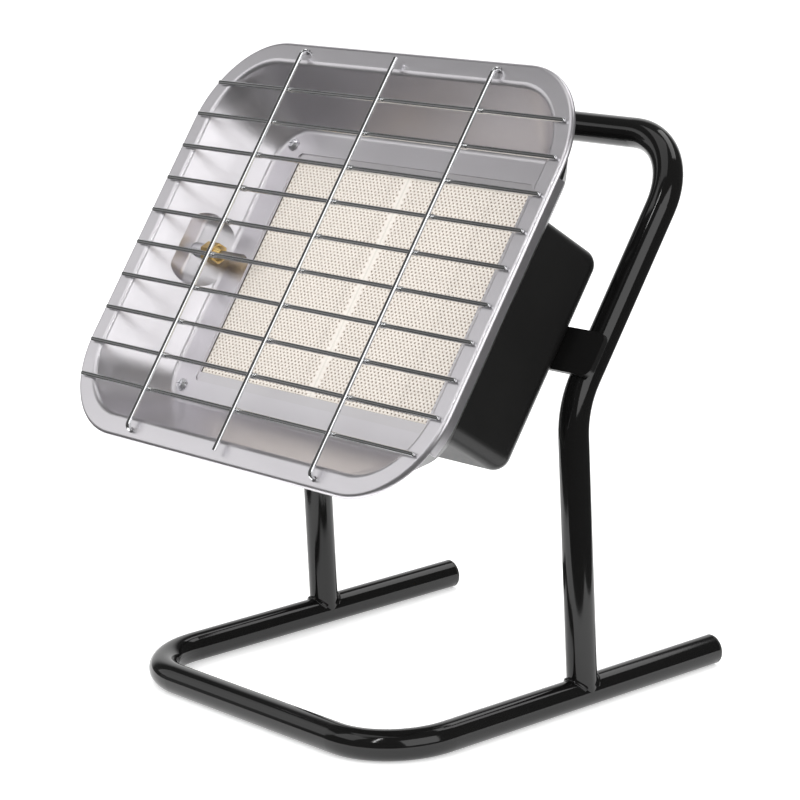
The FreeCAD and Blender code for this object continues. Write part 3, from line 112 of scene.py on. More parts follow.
# %% [markdown]
# ## The camera
# The photograph is taken from the right of the heater and a little above it, with a long lens: the far
# side is hardly smaller than the near one. A camera in Blender looks along its own -Z with +Y up, so its
# matrix is built from three directions: right, up and back. A small roll about the line of sight matches
# the photograph; a constraint that tracks a target would keep the horizon level and could not roll.

# %% Place the camera
IMAGE_SIDE = 800
FOCAL_PIXELS = 2976.78
SENSOR = 36.0
VIEW_AZIMUTH, VIEW_ELEVATION, VIEW_ROLL = 50.66, 13.19, -2.72
VIEW_DISTANCE = 1.57367
VIEW_TARGET = np.array([-0.00199, 0.0026, 0.1509])


def direction(azimuth, elevation):
    """Unit direction from the heater: degrees from straight ahead (-Y) to the right, then upwards."""
    turn, rise = math.radians(azimuth), math.radians(elevation)
    level = math.cos(rise)
    return np.array([math.sin(turn) * level, -math.cos(turn) * level, math.sin(rise)])


view_back = direction(VIEW_AZIMUTH, VIEW_ELEVATION)
level_right = direction(VIEW_AZIMUTH + 90, 0)
level_up = np.cross(view_back, level_right)
roll = math.radians(VIEW_ROLL)
view_right = level_right * math.cos(roll) + level_up * math.sin(roll)
view_up = level_up * math.cos(roll) - level_right * math.sin(roll)

camera_data = bpy.data.cameras.new("photo_camera")
camera_data.sensor_fit = "HORIZONTAL"
camera_data.sensor_width = SENSOR
camera_data.lens = FOCAL_PIXELS / IMAGE_SIDE * SENSOR
camera = bpy.data.objects.new("photo_camera", camera_data)
scene.collection.objects.link(camera)
camera_axes = Matrix(np.array([view_right, view_up, view_back]).T.tolist()).to_4x4()
camera.matrix_world = Matrix.Translation(Vector(VIEW_TARGET + view_back * VIEW_DISTANCE)) @ camera_axes
scene.camera = camera
print("lens", round(camera_data.lens, 2), "mm")

# %% [markdown]
# ## The studio
# Metal and gloss paint show their surroundings, so the studio decides how they look. A sheet of white
# paper runs under the heater and away behind it, and the rest of the room is dim. The room could be built
# from walls and a ceiling; here the world colour plays it, which is simpler to tune. The camera sees
# white all round, reflections see a white backdrop behind the heater and dim walls elsewhere, and
# everything else gets one plain level of light. Nodes are added and joined by a few small helpers.


# %% Node helpers
def feed(tree, value, socket):
    """Joins an input to another socket, or writes a plain value on it."""
    if isinstance(value, bpy.types.NodeSocket):
        tree.links.new(value, socket)
    else:
        socket.default_value = value


def add_node(tree, kind, **values):
    """Adds a shader node and feeds its inputs by name."""
    node = tree.nodes.new(kind)
    for key, value in values.items():
        feed(tree, value, node.inputs[key.replace("_", " ")])
    return node


def add_math(tree, operation, *values):
    """A Math node on sockets or plain numbers, returning its result socket."""
    node = tree.nodes.new("ShaderNodeMath")
    node.operation = operation
    for socket, value in zip(node.inputs, values):
        feed(tree, value, socket)
    return node.outputs[0]


def ways_of_looking(tree):
    """Masks from the light path: seen by the camera, straight or through glass, and seen in a reflection."""
    ray = add_node(tree, "ShaderNodeLightPath").outputs
    return add_math(tree, "MAXIMUM", ray["Is Camera Ray"], ray["Is Transmission Ray"]), ray["Is Glossy Ray"]


# %% World light
WHITE = (1, 1, 1, 1)
PLAIN_LIGHT, ROOM_TONE, BACKDROP_TONE = 0.92, 0.08, 1.0
# Cosines of the angles from the backdrop's middle to where it begins and to where it is fully white
BACKDROP_EDGE, BACKDROP_FULL = 0.72, 0.9
world = bpy.data.worlds.new("white_studio")
world.use_nodes = True
scene.world = world
sky = world.node_tree
sky.nodes.clear()
straight, mirrored = ways_of_looking(sky)
away = -direction(VIEW_AZIMUTH, 0)
facing = add_node(sky, "ShaderNodeVectorMath")
facing.operation = "DOT_PRODUCT"
feed(sky, add_node(sky, "ShaderNodeTexCoord").outputs["Generated"], facing.inputs[0])
feed(sky, away.tolist(), facing.inputs[1])
behind = add_node(sky, "ShaderNodeMapRange", Value=facing.outputs["Value"], From_Min=BACKDROP_EDGE,
                  From_Max=BACKDROP_FULL, To_Min=ROOM_TONE, To_Max=BACKDROP_TONE)
behind.interpolation_type = "SMOOTHSTEP"
shown = add_math(sky, "MAXIMUM", straight, add_math(sky, "MULTIPLY", behind.outputs[0], mirrored))
unseen = add_math(sky, "SUBTRACT", 1.0, add_math(sky, "MAXIMUM", straight, mirrored))
strength = add_math(sky, "ADD", shown, add_math(sky, "MULTIPLY", unseen, PLAIN_LIGHT))
background = add_node(sky, "ShaderNodeBackground", Color=WHITE, Strength=strength)
add_node(sky, "ShaderNodeOutputWorld", Surface=background.outputs[0])
print("world with", len(sky.nodes), "nodes, plain light", PLAIN_LIGHT)

# %% [markdown]
# The paper is pale, and where it is looked at, straight or in a reflection, it is lifted towards the
# backdrop's white. Only part of its brightness comes from that lift, so the heater's soft shadow stays on
# it. The sheet starts just in front of the heater and widens away from the camera, so that the sides of
# the heater mirror the dim room. Like most surfaces made here, it is a grid of points in one array, with
# the faces worked out from the numbers of rows and columns.


# %% Surfaces from grids of points
def grid_faces(rows, columns, closed=True, looped=False):
    """Quads between neighbours in a grid: closed joins last column and first, looped last row and first."""
    row_starts, column_starts = np.arange(rows - (not looped)), np.arange(columns - (not closed))
    row, column = np.meshgrid(row_starts, column_starts, indexing="ij")
    ahead, beside = (row + 1) % rows, (column + 1) % columns
    corners = [(row, column), (row, beside), (ahead, beside), (ahead, column)]
    return np.stack([r * columns + c for r, c in corners], axis=-1).reshape(-1, 4)


def build_mesh(name, points, faces, smooth=True):
    """Puts point and face arrays into a mesh and its object at the origin."""
    mesh = bpy.data.meshes.new(name)
    mesh.from_pydata(np.asarray(points).reshape(-1, 3).tolist(), [], faces)
    mesh.polygons.foreach_set("use_smooth", np.full(len(mesh.polygons), smooth))
    mesh.update()
    piece = bpy.data.objects.new(name, mesh)
    scene.collection.objects.link(piece)
    return piece


# %% Paper
PAPER_NEAR, PAPER_FAR, PAPER_HALF, PAPER_SPREAD = -0.24, 6.0, 0.27, 0.16
PAPER_ROWS, PAPER_COLUMNS = 24, 9
paper_run = np.linspace(PAPER_NEAR, PAPER_FAR, PAPER_ROWS)[:, None, None]
half_width = PAPER_HALF + PAPER_SPREAD * (paper_run - PAPER_NEAR)
aside = np.linspace(-1, 1, PAPER_COLUMNS)[None, :, None] * half_width
sheet = paper_run * away + aside * level_right
paper_faces = grid_faces(PAPER_ROWS, PAPER_COLUMNS, closed=False)[:, ::-1].tolist()
paper = build_mesh("studio_paper", sheet, paper_faces, smooth=False)
print("paper normal", paper.data.polygons[0].normal.to_tuple(2))

# %% Finish of the paper
PAPER_COLOUR, PAPER_LIFT = (0.86, 0.86, 0.86, 1), 0.45
paper_finish = bpy.data.materials.new("studio_paper")
paper_finish.use_nodes = True
paper_tree = paper_finish.node_tree
paper_tree.nodes.clear()
looked_at = add_math(paper_tree, "MAXIMUM", *ways_of_looking(paper_tree))
lift = add_math(paper_tree, "MULTIPLY", looked_at, PAPER_LIFT)
paper_glow = add_node(paper_tree, "ShaderNodeEmission", Color=WHITE, Strength=lift)
paper_diffuse = add_node(paper_tree, "ShaderNodeBsdfDiffuse", Color=PAPER_COLOUR)
paper_sum = add_node(paper_tree, "ShaderNodeAddShader")
feed(paper_tree, paper_diffuse.outputs[0], paper_sum.inputs[0])
feed(paper_tree, paper_glow.outputs[0], paper_sum.inputs[1])
add_node(paper_tree, "ShaderNodeOutputMaterial", Surface=paper_sum.outputs[0])
paper.data.materials.append(paper_finish)
print("paper finish with", len(paper_tree.nodes), "nodes")

# %% [markdown]
# Seven soft lamps do the rest. A wide one at the right whitens the tray's left wall and draws the white
# line on the guard's long wires. A card at the left brightens the tray's floor and rim, a very weak one
# beside it is the paler line on the cross wires, and a lamp above the front reaches the tray's corners
# over two reflections. A narrow tall one high in front draws the sharp streak along the gloss-black
# tubes, a broad weak one overhead opens the top sides, and one high behind the heater lays a soft light
# along the tops of the two legs.

# %% Lamps
LAMP_AIM = Vector((0, 0, 0.16))
# Azimuth and elevation in degrees, distance, width and height in metres, power in watts
LAMPS = {
    "right_softbox": (80, 23, 1.7, (1.3, 1.3), 9.4),
    "left_card": (-58, 22, 1.7, (0.9, 0.9), 1.9),
    "wire_card": (-54, 13, 1.7, (0.5, 1.2), 0.28),
    "front_softbox": (-24, 42, 1.7, (0.9, 0.9), 3.0),
    "streak_strip": (20, 46, 1.8, (0.08, 1.0), 3.4),
    "top_softbox": (-60, 78, 2.0, (1.4, 1.4), 5.0),
    "back_softbox": (180, 54, 2.0, (1.3, 0.8), 6.0),
}


def soft_lamp(name, azimuth, elevation, distance, size, power):
    """A rectangular lamp on a sphere round the heater's middle, facing it."""
    data = bpy.data.lights.new(name, "AREA")
    data.shape = "RECTANGLE"
    data.size, data.size_y = size
    data.energy = power
    lamp = bpy.data.objects.new(name, data)
    scene.collection.objects.link(lamp)
    towards = Vector(direction(azimuth, elevation))
    lamp.location = LAMP_AIM + towards * distance
    lamp.rotation_euler = towards.to_track_quat("Z", "Y").to_euler()
    return lamp


lamps = {name: soft_lamp(name, *setting) for name, setting in LAMPS.items()}
print("lamps", len(lamps))

# %% [markdown]
# ## Finishes
# Two effects appear in several finishes, so each is one node group. "paint_film" is a coat of paint or
# moulded plastic: a very fine ripple, and a roughness that drifts a little where it was handled.
# "metal_skin" is bare metal: rolled grain that is long in one direction, with a slow change of tone.
# Copying the nodes into every material would work too, but then each later change would have to be made
# in all of them.

# %% Shared node groups
NOISE_MIDDLE = 0.5
# Places of the colour sockets among the inputs and outputs of a Mix node
MIX_FIRST, MIX_SECOND, MIX_RESULT = 6, 7, 2


def new_group(name, inputs, outputs):
    """An empty shader group with the named sockets, returned with its inside inputs and outputs."""
    group = bpy.data.node_groups.new(name, "ShaderNodeTree")
    kinds = {"float": "NodeSocketFloat", "colour": "NodeSocketColor", "vector": "NodeSocketVector"}
    for title, kind in inputs:
        group.interface.new_socket(title, in_out="INPUT", socket_type=kinds[kind])
    for title, kind in outputs:
        group.interface.new_socket(title, in_out="OUTPUT", socket_type=kinds[kind])
    return group, group.nodes.new("NodeGroupInput").outputs, group.nodes.new("NodeGroupOutput").inputs


def noise(tree, vector, scale, detail=3.0):
    """A noise texture on a vector socket, returning its value from 0 to 1."""
    return add_node(tree, "ShaderNodeTexNoise", Vector=vector, Scale=scale, Detail=detail).outputs["Fac"]


def mix_colour(tree, factor, first, second):
    """A mix of two colours, plain or from sockets, by a factor socket."""
    node = tree.nodes.new("ShaderNodeMix")
    node.data_type = "RGBA"
    feed(tree, factor, node.inputs["Factor"])
    feed(tree, first, node.inputs[MIX_FIRST])
    feed(tree, second, node.inputs[MIX_SECOND])
    return node.outputs[MIX_RESULT]


def bump(tree, height, strength, distance):
    """A bump node, returning its normal."""
    node = add_node(tree, "ShaderNodeBump", Height=height, Strength=strength, Distance=distance)
    return node.outputs["Normal"]


# %% Paint film group
DUST_SCALE, RIPPLE_DETAIL, RIPPLE_HEIGHT = 22.0, 2.0, 0.4 * MM
film_sockets = [("Vector", "vector"), ("Colour", "colour"), ("Dust Colour", "colour"), ("Dust", "float"),
                ("Roughness", "float"), ("Drift", "float"), ("Ripple Scale", "float"), ("Ripple", "float")]
surface_sockets = [("Colour", "colour"), ("Roughness", "float"), ("Normal", "vector")]
paint_film, given, result = new_group("paint_film", film_sockets, surface_sockets)
slow = noise(paint_film, given["Vector"], DUST_SCALE)
dusted = add_math(paint_film, "MULTIPLY", slow, given["Dust"])
feed(paint_film, mix_colour(paint_film, dusted, given["Colour"], given["Dust Colour"]), result["Colour"])
centred = add_math(paint_film, "SUBTRACT", slow, NOISE_MIDDLE)
rough = add_math(paint_film, "MULTIPLY_ADD", centred, given["Drift"], given["Roughness"])
feed(paint_film, rough, result["Roughness"])
ripple_noise = noise(paint_film, given["Vector"], given["Ripple Scale"], RIPPLE_DETAIL)
feed(paint_film, bump(paint_film, ripple_noise, given["Ripple"], RIPPLE_HEIGHT), result["Normal"])
print(paint_film.name, len(paint_film.nodes), "nodes")

# %% Metal skin group
GRAIN_DETAIL, GRAIN_SHARE, GRAIN_HEIGHT = 4.0, 0.6, 0.2 * MM
STAIN_SCALE, STAIN_STRETCH = 30.0, (1.0, 0.35, 1.0)
skin_sockets = [("Vector", "vector"), ("Bright", "colour"), ("Dull", "colour"), ("Roughness", "float"),
                ("Drift", "float"), ("Grain Scale", "float"), ("Grain", "float")]
metal_skin, given, result = new_group("metal_skin", skin_sockets, surface_sockets)
grain_noise = noise(metal_skin, given["Vector"], given["Grain Scale"], GRAIN_DETAIL)
stain_map = add_node(metal_skin, "ShaderNodeMapping", Vector=given["Vector"], Scale=STAIN_STRETCH)
stain = noise(metal_skin, stain_map.outputs[0], STAIN_SCALE)
feed(metal_skin, mix_colour(metal_skin, stain, given["Bright"], given["Dull"]), result["Colour"])
blend = add_math(metal_skin, "MULTIPLY_ADD", grain_noise, GRAIN_SHARE, stain)
centred = add_math(metal_skin, "SUBTRACT", blend, NOISE_MIDDLE * (1 + GRAIN_SHARE))
rough = add_math(metal_skin, "MULTIPLY_ADD", centred, given["Drift"], given["Roughness"])
feed(metal_skin, rough, result["Roughness"])
feed(metal_skin, bump(metal_skin, grain_noise, given["Grain"], GRAIN_HEIGHT), result["Normal"])
print(metal_skin.name, len(metal_skin.nodes), "nodes")

# %% [markdown]
# A finish places one of these groups between Object coordinates and a Principled shader. On the head the
# coordinates are turned with the face first, so that grain runs along the sheet and not along the room.


# %% Finish builders
def grey(level, warmth=0.0):
    """A nearly neutral colour, warmer for a positive warmth."""
    return (level * (1 + warmth), level, level * (1 - warmth), 1.0)


def object_vector(tree, stretch=(1, 1, 1), on_head=False):
    """Object coordinates, turned to the head's directions if asked, then stretched."""
    vector = add_node(tree, "ShaderNodeTexCoord").outputs["Object"]
    if on_head:
        turned = tree.nodes.new("ShaderNodeMapping")
        turned.vector_type = "TEXTURE"
        feed(tree, vector, turned.inputs["Vector"])
        feed(tree, HEAD_CENTRE.tolist(), turned.inputs["Location"])
        feed(tree, (HEAD_TURN, 0, 0), turned.inputs["Rotation"])
        vector = turned.outputs[0]
    return add_node(tree, "ShaderNodeMapping", Vector=vector, Scale=stretch).outputs[0]


def new_finish(name, group, stretch, on_head, metallic, **values):
    """A material: a shared group on object coordinates, joined to a Principled shader."""
    finish = bpy.data.materials.new(name)
    finish.use_nodes = True
    tree = finish.node_tree
    shader = tree.nodes["Principled BSDF"]
    feed(tree, metallic, shader.inputs["Metallic"])
    node = tree.nodes.new("ShaderNodeGroup")
    node.node_tree = group
    feed(tree, object_vector(tree, stretch, on_head), node.inputs["Vector"])
    for key, value in values.items():
        feed(tree, value, node.inputs[key.replace("_", " ")])
    for made, taken in (("Colour", "Base Color"), ("Roughness", "Roughness"), ("Normal", "Normal")):
        feed(tree, node.outputs[made], shader.inputs[taken])
    return finish


# %% Two families of finishes
PAINT_DRIFT, METAL_DRIFT = 0.5, 0.4
PAINT_RIPPLE_SCALE, GRAIN_SCALE = 900.0, 260.0
DUST_COLOUR = grey(0.16, 0.06)
AS_IT_IS, LONG_GRAIN = (1, 1, 1), (0.12, 1.0, 1.0)
finishes = {}


def painted(name, colour, dust, roughness, ripple, ripple_scale=PAINT_RIPPLE_SCALE):
    """Paint, plastic or a mineral: the paint film on a plain shader."""
    finishes[name] = new_finish(
        name, paint_film, AS_IT_IS, on_head=False, metallic=0.0, Colour=colour, Dust_Colour=DUST_COLOUR,
        Dust=dust, Roughness=roughness, Drift=roughness * PAINT_DRIFT, Ripple_Scale=ripple_scale,
        Ripple=ripple)


def bare_metal(name, bright, dull, roughness, grain, stretch=AS_IT_IS, on_head=False):
    """Bare or plated metal: the metal skin on a metallic shader."""
    finishes[name] = new_finish(
        name, metal_skin, stretch, on_head, metallic=1.0, Bright=bright, Dull=dull, Roughness=roughness,
        Drift=roughness * METAL_DRIFT, Grain_Scale=GRAIN_SCALE, Grain=grain)


# %% [markdown]
# The stand's tubes are gloss black and mirror the lamps as thin streaks, while the sheet behind the head
# has a duller black coat. Plugs, button and seals are moulded plastic and rubber. Ceramic, cement and
# gasket are minerals without any gloss. All of them are the paint film with other numbers: how dark, how
# dusty, how rough and how rippled. Pictures of real surfaces could do this too, but a picture has the
# light of its own day in it.

# %% Paints, plastics and minerals
painted("tube_paint", grey(0.004), dust=0.02, roughness=0.09, ripple=0.015)
painted("sheet_paint", grey(0.006), dust=0.03, roughness=0.32, ripple=0.10)
painted("plug_plastic", grey(0.02), dust=0.06, roughness=0.45, ripple=0.12)
painted("button_plastic", grey(0.016), dust=0.05, roughness=0.34, ripple=0.10)
painted("seal_rubber", grey(0.02), dust=0.08, roughness=0.62, ripple=0.20)
painted("ceramic", (0.92, 0.865, 0.80, 1), dust=0.02, roughness=0.85, ripple=0.30, ripple_scale=700.0)
painted("cement", (0.84, 0.80, 0.73, 1), dust=0.06, roughness=0.92, ripple=0.50, ripple_scale=500.0)
painted("gasket_fibre", (0.70, 0.68, 0.62, 1), dust=0.10, roughness=0.95, ripple=0.60, ripple_scale=420.0)
print("painted", list(finishes))

# %% [markdown]
# The tray and the burner are aluminised sheet, with a grain that runs across the head, because sheet is
# rolled in one direction. The guard is chromed and nearly a mirror, the screws are plated with zinc, the
# gas fittings are brass, the lead is copper, and the probe is steel that the flame has darkened. Each is
# the metal skin between a bright and a dull colour. One flat colour would be simpler, but it makes metal
# look like plastic.

# %% Metals
bare_metal("reflector_steel", (0.82, 0.80, 0.83, 1), (0.75, 0.73, 0.76, 1), roughness=0.34, grain=0.04,
           stretch=LONG_GRAIN, on_head=True)
bare_metal("burner_steel", (0.80, 0.78, 0.80, 1), (0.70, 0.68, 0.70, 1), roughness=0.34, grain=0.06,
           stretch=LONG_GRAIN, on_head=True)
bare_metal("wire_chrome", grey(0.80, -0.01), grey(0.74, -0.01), roughness=0.10, grain=0.002)
bare_metal("zinc", (0.84, 0.85, 0.88, 1), (0.74, 0.74, 0.76, 1), roughness=0.28, grain=0.06)
bare_metal("brass", (0.83, 0.63, 0.28, 1), (0.66, 0.45, 0.18, 1), roughness=0.24, grain=0.06)
bare_metal("copper", (0.84, 0.46, 0.30, 1), (0.62, 0.32, 0.20, 1), roughness=0.26, grain=0.05)
bare_metal("probe_steel", grey(0.34, 0.05), grey(0.20, 0.10), roughness=0.38, grain=0.08)
bare_metal("stem_steel", grey(0.68), grey(0.58), roughness=0.20, grain=0.04)
print("finishes", len(finishes))

# %% [markdown]
# Inside its holes the ceramic takes a darker colour than on its face: painted shade, for the shade that falls
# into the narrow holes. The plaques made below carry a number at each point, 0 on the face and 1 at the
# bottom of a hole, and the finish mixes its two colours by that number. The mask could also come from a
# texture of dots, but dots would slide off the holes as soon as one size changed.

# %% Painted shade in the holes
# Painted shade: the ceramic's colour deep in a hole, darker for the shade that falls there
HOLE_SHADE_COLOUR = (0.42, 0.33, 0.24, 1)


def tint(finish, mask, colour):
    """Mixes another colour into a finish's own where a mask is 1."""
    tree = finish.node_tree
    base = tree.nodes["Principled BSDF"].inputs["Base Color"]
    feed(tree, mix_colour(tree, mask, base.links[0].from_socket, colour), base)


hole_depth = finishes["ceramic"].node_tree.nodes.new("ShaderNodeAttribute")
hole_depth.attribute_name = "hole_depth"
# Paints shade into the holes, darker towards their bottoms by hole_depth
tint(finishes["ceramic"], hole_depth.outputs["Fac"], HOLE_SHADE_COLOUR)
print("ceramic takes", hole_depth.attribute_name)

# %% [markdown]
# The frame round the plaques is cut from sheet. Its window's cut edge is painted dark: painted shadow, for
# the shadow in the gap between the frame and the ceramic, which shows as a thin dark line beside the ceramic.
# The frame's point nearest to the head's middle is a corner of its window, so whatever lies within that
# corner, and no further back than the frame, is cut edge and takes the painted shadow's dark colour.

# %% Painted shadow on the window's cut edge
# Painted shadow: the dark colour of the window's cut edge stands for the shadow in the gap beside the ceramic
EDGE_ROOM, GAP_SHADOW_COLOUR = 0.05 * MM, grey(0.13, 0.04)
frame_local = to_head("plaque_frame")
window_corner = frame_local[np.argmin(np.hypot(frame_local[:, 0], frame_local[:, 1]))]
window_half = np.abs(window_corner) + EDGE_ROOM
frame_back = frame_local[:, 2].min() - EDGE_ROOM
steel_tree = finishes["burner_steel"].node_tree
head_vector = object_vector(steel_tree, on_head=True)
place = add_node(steel_tree, "ShaderNodeSeparateXYZ", Vector=head_vector).outputs
in_width = add_math(steel_tree, "COMPARE", place["X"], 0.0, window_half[0])
in_height = add_math(steel_tree, "COMPARE", place["Y"], 0.0, window_half[1])
in_front = add_math(steel_tree, "GREATER_THAN", place["Z"], frame_back)
in_window = add_math(steel_tree, "MULTIPLY", in_width, in_height)
# Paints the shadow of the gap onto the window's cut edge
tint(finishes["burner_steel"], add_math(steel_tree, "MULTIPLY", in_window, in_front), GAP_SHADOW_COLOUR)
print("window of the frame", (2 * np.abs(window_corner[:2]) / MM).round(1), "mm")

# %% [markdown]
# In the record each piece names its material slot, and each slot has a finish of the same name here. So
# the pieces are dressed by looking up names. A list of pieces typed in again would go wrong with the next
# one that CAD adds.

# %% Dress the CAD nodes
slot_of = {row["node"]: row["material_slot"] for row in frame["record"]["subparts"]}
for node_name, piece in nodes.items():
    piece.data.materials.clear()
    piece.data.materials.append(finishes[slot_of[node_name]])
print("dressed", len(slot_of), "nodes in", len(finishes), "finishes")

# %% [markdown]
# ## The perforated plaques
# Gas burns in thousands of narrow channels through each plaque. Cutting them all in CAD would be slow and
# heavy, so the block stays plain there, and the face with its holes is made here: a grid of points, laid
# out like brickwork. Each hole takes two by two cells of the grid, and every second row is shifted by one
# cell, so that no edge ends in the middle of another. The holes are blind, because the eye never sees
# further in than a hole is wide.

# %% Grid of the face
HOLES_ACROSS, HOLE_ROWS = 30, 74
HOLE_PITCH, HOLE_ROW_PITCH = 3.0 * MM, 1.75 * MM
HOLE_RADIUS, HOLE_BOTTOM, HOLE_DEPTH = 0.54 * MM, 0.42 * MM, 1.5 * MM


def grid_lines(low, high, pitch, count):
    """Lines of a plain border, count steps of a pitch in the middle, and the other border."""
    start = (low + high - count * pitch) / 2
    return np.concatenate([[low], start + pitch * np.arange(count + 1), [high]])


def plaque_grid(low, high):
    """Points of the face on lines half a hole's pitch apart, and each point's number by row and column."""
    across = grid_lines(low[0], high[0], HOLE_PITCH / 2, 2 * HOLES_ACROSS + 1)
    upward = grid_lines(low[1], high[1], HOLE_ROW_PITCH / 2, 2 * HOLE_ROWS)
    wide, tall = len(across), len(upward)
    face = np.stack([*np.meshgrid(across, upward), np.full((tall, wide), high[2])], axis=-1)
    return face.reshape(-1, 3), np.arange(wide * tall).reshape(tall, wide)


# %% Rings of the holes
# The eight grid points round a hole, counted from its lower left corner, anticlockwise
RING_X, RING_Y = np.array([0, 1, 2, 2, 2, 1, 0, 0]), np.array([0, 0, 0, 1, 2, 2, 2, 1])
RING = len(RING_X)


def hole_rings(face, at, left, foot):
    """Numbers of the grid points round each hole, and the points of its rim and of its smaller bottom."""
    edge = at[foot[:, None] + RING_Y, left[:, None] + RING_X]
    spoke = np.arctan2(RING_Y - 1, RING_X - 1)
    outward = np.stack([np.cos(spoke), np.sin(spoke), np.zeros(RING)], axis=-1)
    middle = face[at[foot + 1, left + 1]][:, None]
    return edge, middle + HOLE_RADIUS * outward, middle + HOLE_BOTTOM * outward - [0, 0, HOLE_DEPTH]


def ring_band(outer, inner):
    """Quads between two matching rings."""
    ahead = np.roll(np.arange(RING), -1)
    return np.stack([outer, outer[:, ahead], inner[:, ahead], inner], axis=-1).reshape(-1, 4)


def plain_cells(at, left, foot):
    """Quads of the grid's cells that no hole takes."""
    plain = np.ones((at.shape[0] - 1, at.shape[1] - 1), dtype=bool)
    for up, over in ((0, 0), (0, 1), (1, 0), (1, 1)):
        plain[foot + up, left + over] = False
    return np.stack([at[:-1, :-1], at[:-1, 1:], at[1:, 1:], at[1:, :-1]], axis=-1)[plain]


# %% Perforated plaque
RIM_SHADE = 0.35


def perforated_plaque(name, node):
    """A block whose face is a grid with an octagonal blind hole in each brick: rim, wall and bottom."""
    low, high = span(node)
    face, at = plaque_grid(low, high)
    row, column = np.meshgrid(np.arange(HOLE_ROWS), np.arange(HOLES_ACROSS), indexing="ij")
    left, foot = (1 + 2 * column + row % 2).ravel(), (1 + 2 * row).ravel()
    edge, rim, bottom = hole_rings(face, at, left, foot)
    rim_at = len(face) + np.arange(RING * len(left)).reshape(-1, RING)
    bottom_at = rim_at + RING * len(left)

    outline = np.concatenate([at[0, :-1], at[:-1, -1], at[-1, :0:-1], at[:0:-1, 0]])
    back = face[outline] - [0, 0, high[2] - low[2]]
    back_at = len(face) + 2 * RING * len(left) + np.arange(len(outline))
    sides = np.stack([np.roll(outline, -1), outline, back_at, np.roll(back_at, -1)], axis=-1)
    points = np.concatenate([face, rim.reshape(-1, 3), bottom.reshape(-1, 3), back])
    bands = [plain_cells(at, left, foot), ring_band(edge, rim_at), ring_band(rim_at, bottom_at), sides]
    faces = np.concatenate(bands).tolist() + bottom_at.tolist() + [back_at[::-1].tolist()]

    piece = build_mesh(name, from_head(points), faces, smooth=False)
    # Where the ceramic finish paints shade: 0 on the face, RIM_SHADE at a hole's rim, 1 at its bottom
    depth = np.zeros(len(points), dtype=np.float32)
    depth[rim_at.ravel()], depth[bottom_at.ravel()] = RIM_SHADE, 1.0
    piece.data.attributes.new("hole_depth", "FLOAT", "POINT").data.foreach_set("value", depth)
    print(name, len(left), "holes")
    return piece


# %% [markdown]
# A new piece needs two things to belong to the heater: a finish and the body that it moves with. The plain
# CAD node that it takes the place of, if there is one, is hidden.


# %% Put the plaques in place
def carry(piece, body, slot_name, replaced=None):
    """Gives a new piece its finish and its body, and hides the CAD node that it stands for, if there is one."""
    piece.data.materials.append(finishes[slot_name])
    if replaced:
        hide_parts(replaced)
    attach(piece, body)


for side in ("left", "right"):
    plaque = perforated_plaque(f"perforated_plaque_{side}", f"ceramic_plaque_{side}")
    carry(plaque, "heater", "ceramic", f"ceramic_plaque_{side}")

# %% [markdown]
# ## Weld spots of the guard
# The guard's wires are pressed together and welded where they cross, and the hot metal swells along the
# cross wire on both sides of the long one. A swelling is a blunt sleeve round the cross wire: its radius
# stays nearly level and falls off quickly at both ends, so each end catches the light as a small spot. It
# could be a scaled sphere, but a sphere thins out so slowly that its ends vanish in the wire.

# %% Where the wires cross
CROSS_WIRES, LONG_WIRES = 10, 3
cross_low, cross_high = span("guard_cross_wires")
long_low, long_high = span("guard_long_wires")
wire_radius = (cross_high[2] - cross_low[2]) / 2
rows_up = np.linspace(cross_low[1] + wire_radius, cross_high[1] - wire_radius, CROSS_WIRES)
columns_across = np.linspace(long_low[0] + wire_radius, long_high[0] - wire_radius, LONG_WIRES)
crossings = np.meshgrid(rows_up, columns_across, indexing="ij")
spot_y, spot_x = [grid.ravel()[:, None, None] for grid in crossings]
spots = spot_x.size
print("crossings", spots, "of wires", round(2 * wire_radius / MM, 2), "mm thick")

# %% Weld swellings
SPOT_RINGS, SPOT_SPOKES = 11, 14
SPOT_HALF, SPOT_SWELL = 3.6 * MM, 0.42 * MM
SPOT_ROOT, SPOT_UNEVEN, SPOT_STEP = 0.96, 0.15, 1.7
# Radius: just inside the wire at the ends, plus a swelling, level in its middle, uneven from spot to spot
end_to_end = np.sin(np.linspace(-0.5, 0.5, SPOT_RINGS) * np.pi)[:, None]
spoke = np.linspace(0, 2 * np.pi, SPOT_SPOKES, endpoint=False)
uneven = 1 + SPOT_UNEVEN * np.cos(SPOT_STEP * np.arange(spots)[:, None, None])
swelling = SPOT_ROOT * wire_radius + SPOT_SWELL * uneven * np.sqrt(1 - end_to_end ** 4) + 0 * spoke
swell_x = spot_x + SPOT_HALF * end_to_end + 0 * swelling
swell_z = cross_low[2] + wire_radius + swelling * np.sin(spoke)
swellings = np.stack([swell_x, spot_y + swelling * np.cos(spoke), swell_z], axis=-1)
starts = SPOT_RINGS * SPOT_SPOKES * np.arange(spots)[:, None]
first_ring = np.arange(SPOT_SPOKES)
last_ring = SPOT_SPOKES * (SPOT_RINGS - 1) + first_ring
spot_quads = (starts[:, :, None] + grid_faces(SPOT_RINGS, SPOT_SPOKES)).reshape(-1, 4).tolist()
spot_caps = (starts + first_ring[::-1]).tolist() + (starts + last_ring).tolist()
weld_spots = build_mesh("guard_weld_spots", from_head(swellings), spot_quads + spot_caps)
carry(weld_spots, "heater", "wire_chrome")
print("weld swellings", spots)

# %% [markdown]
# Chrome wires are small mirrors. In the photograph one half of each wire is nearly black, as if small
# flags kept some of the lamps off the wires. Light linking does the same: a collection of the wires is
# marked as left out, and three of the lamps at the left and the front take it as their list. The weld
# swellings stay in the light, because each of them shows a white glint.

# %% Flags for the wires
flagged = bpy.data.collections.new("flagged_wires")
for node_name in ("guard_cross_wires", "guard_long_wires"):
    flagged.objects.link(nodes[node_name])
for member in flagged.collection_objects:
    member.light_linking.link_state = "EXCLUDE"
for lamp_name in ("left_card", "front_softbox", "streak_strip"):
    lamps[lamp_name].light_linking.receiver_collection = flagged
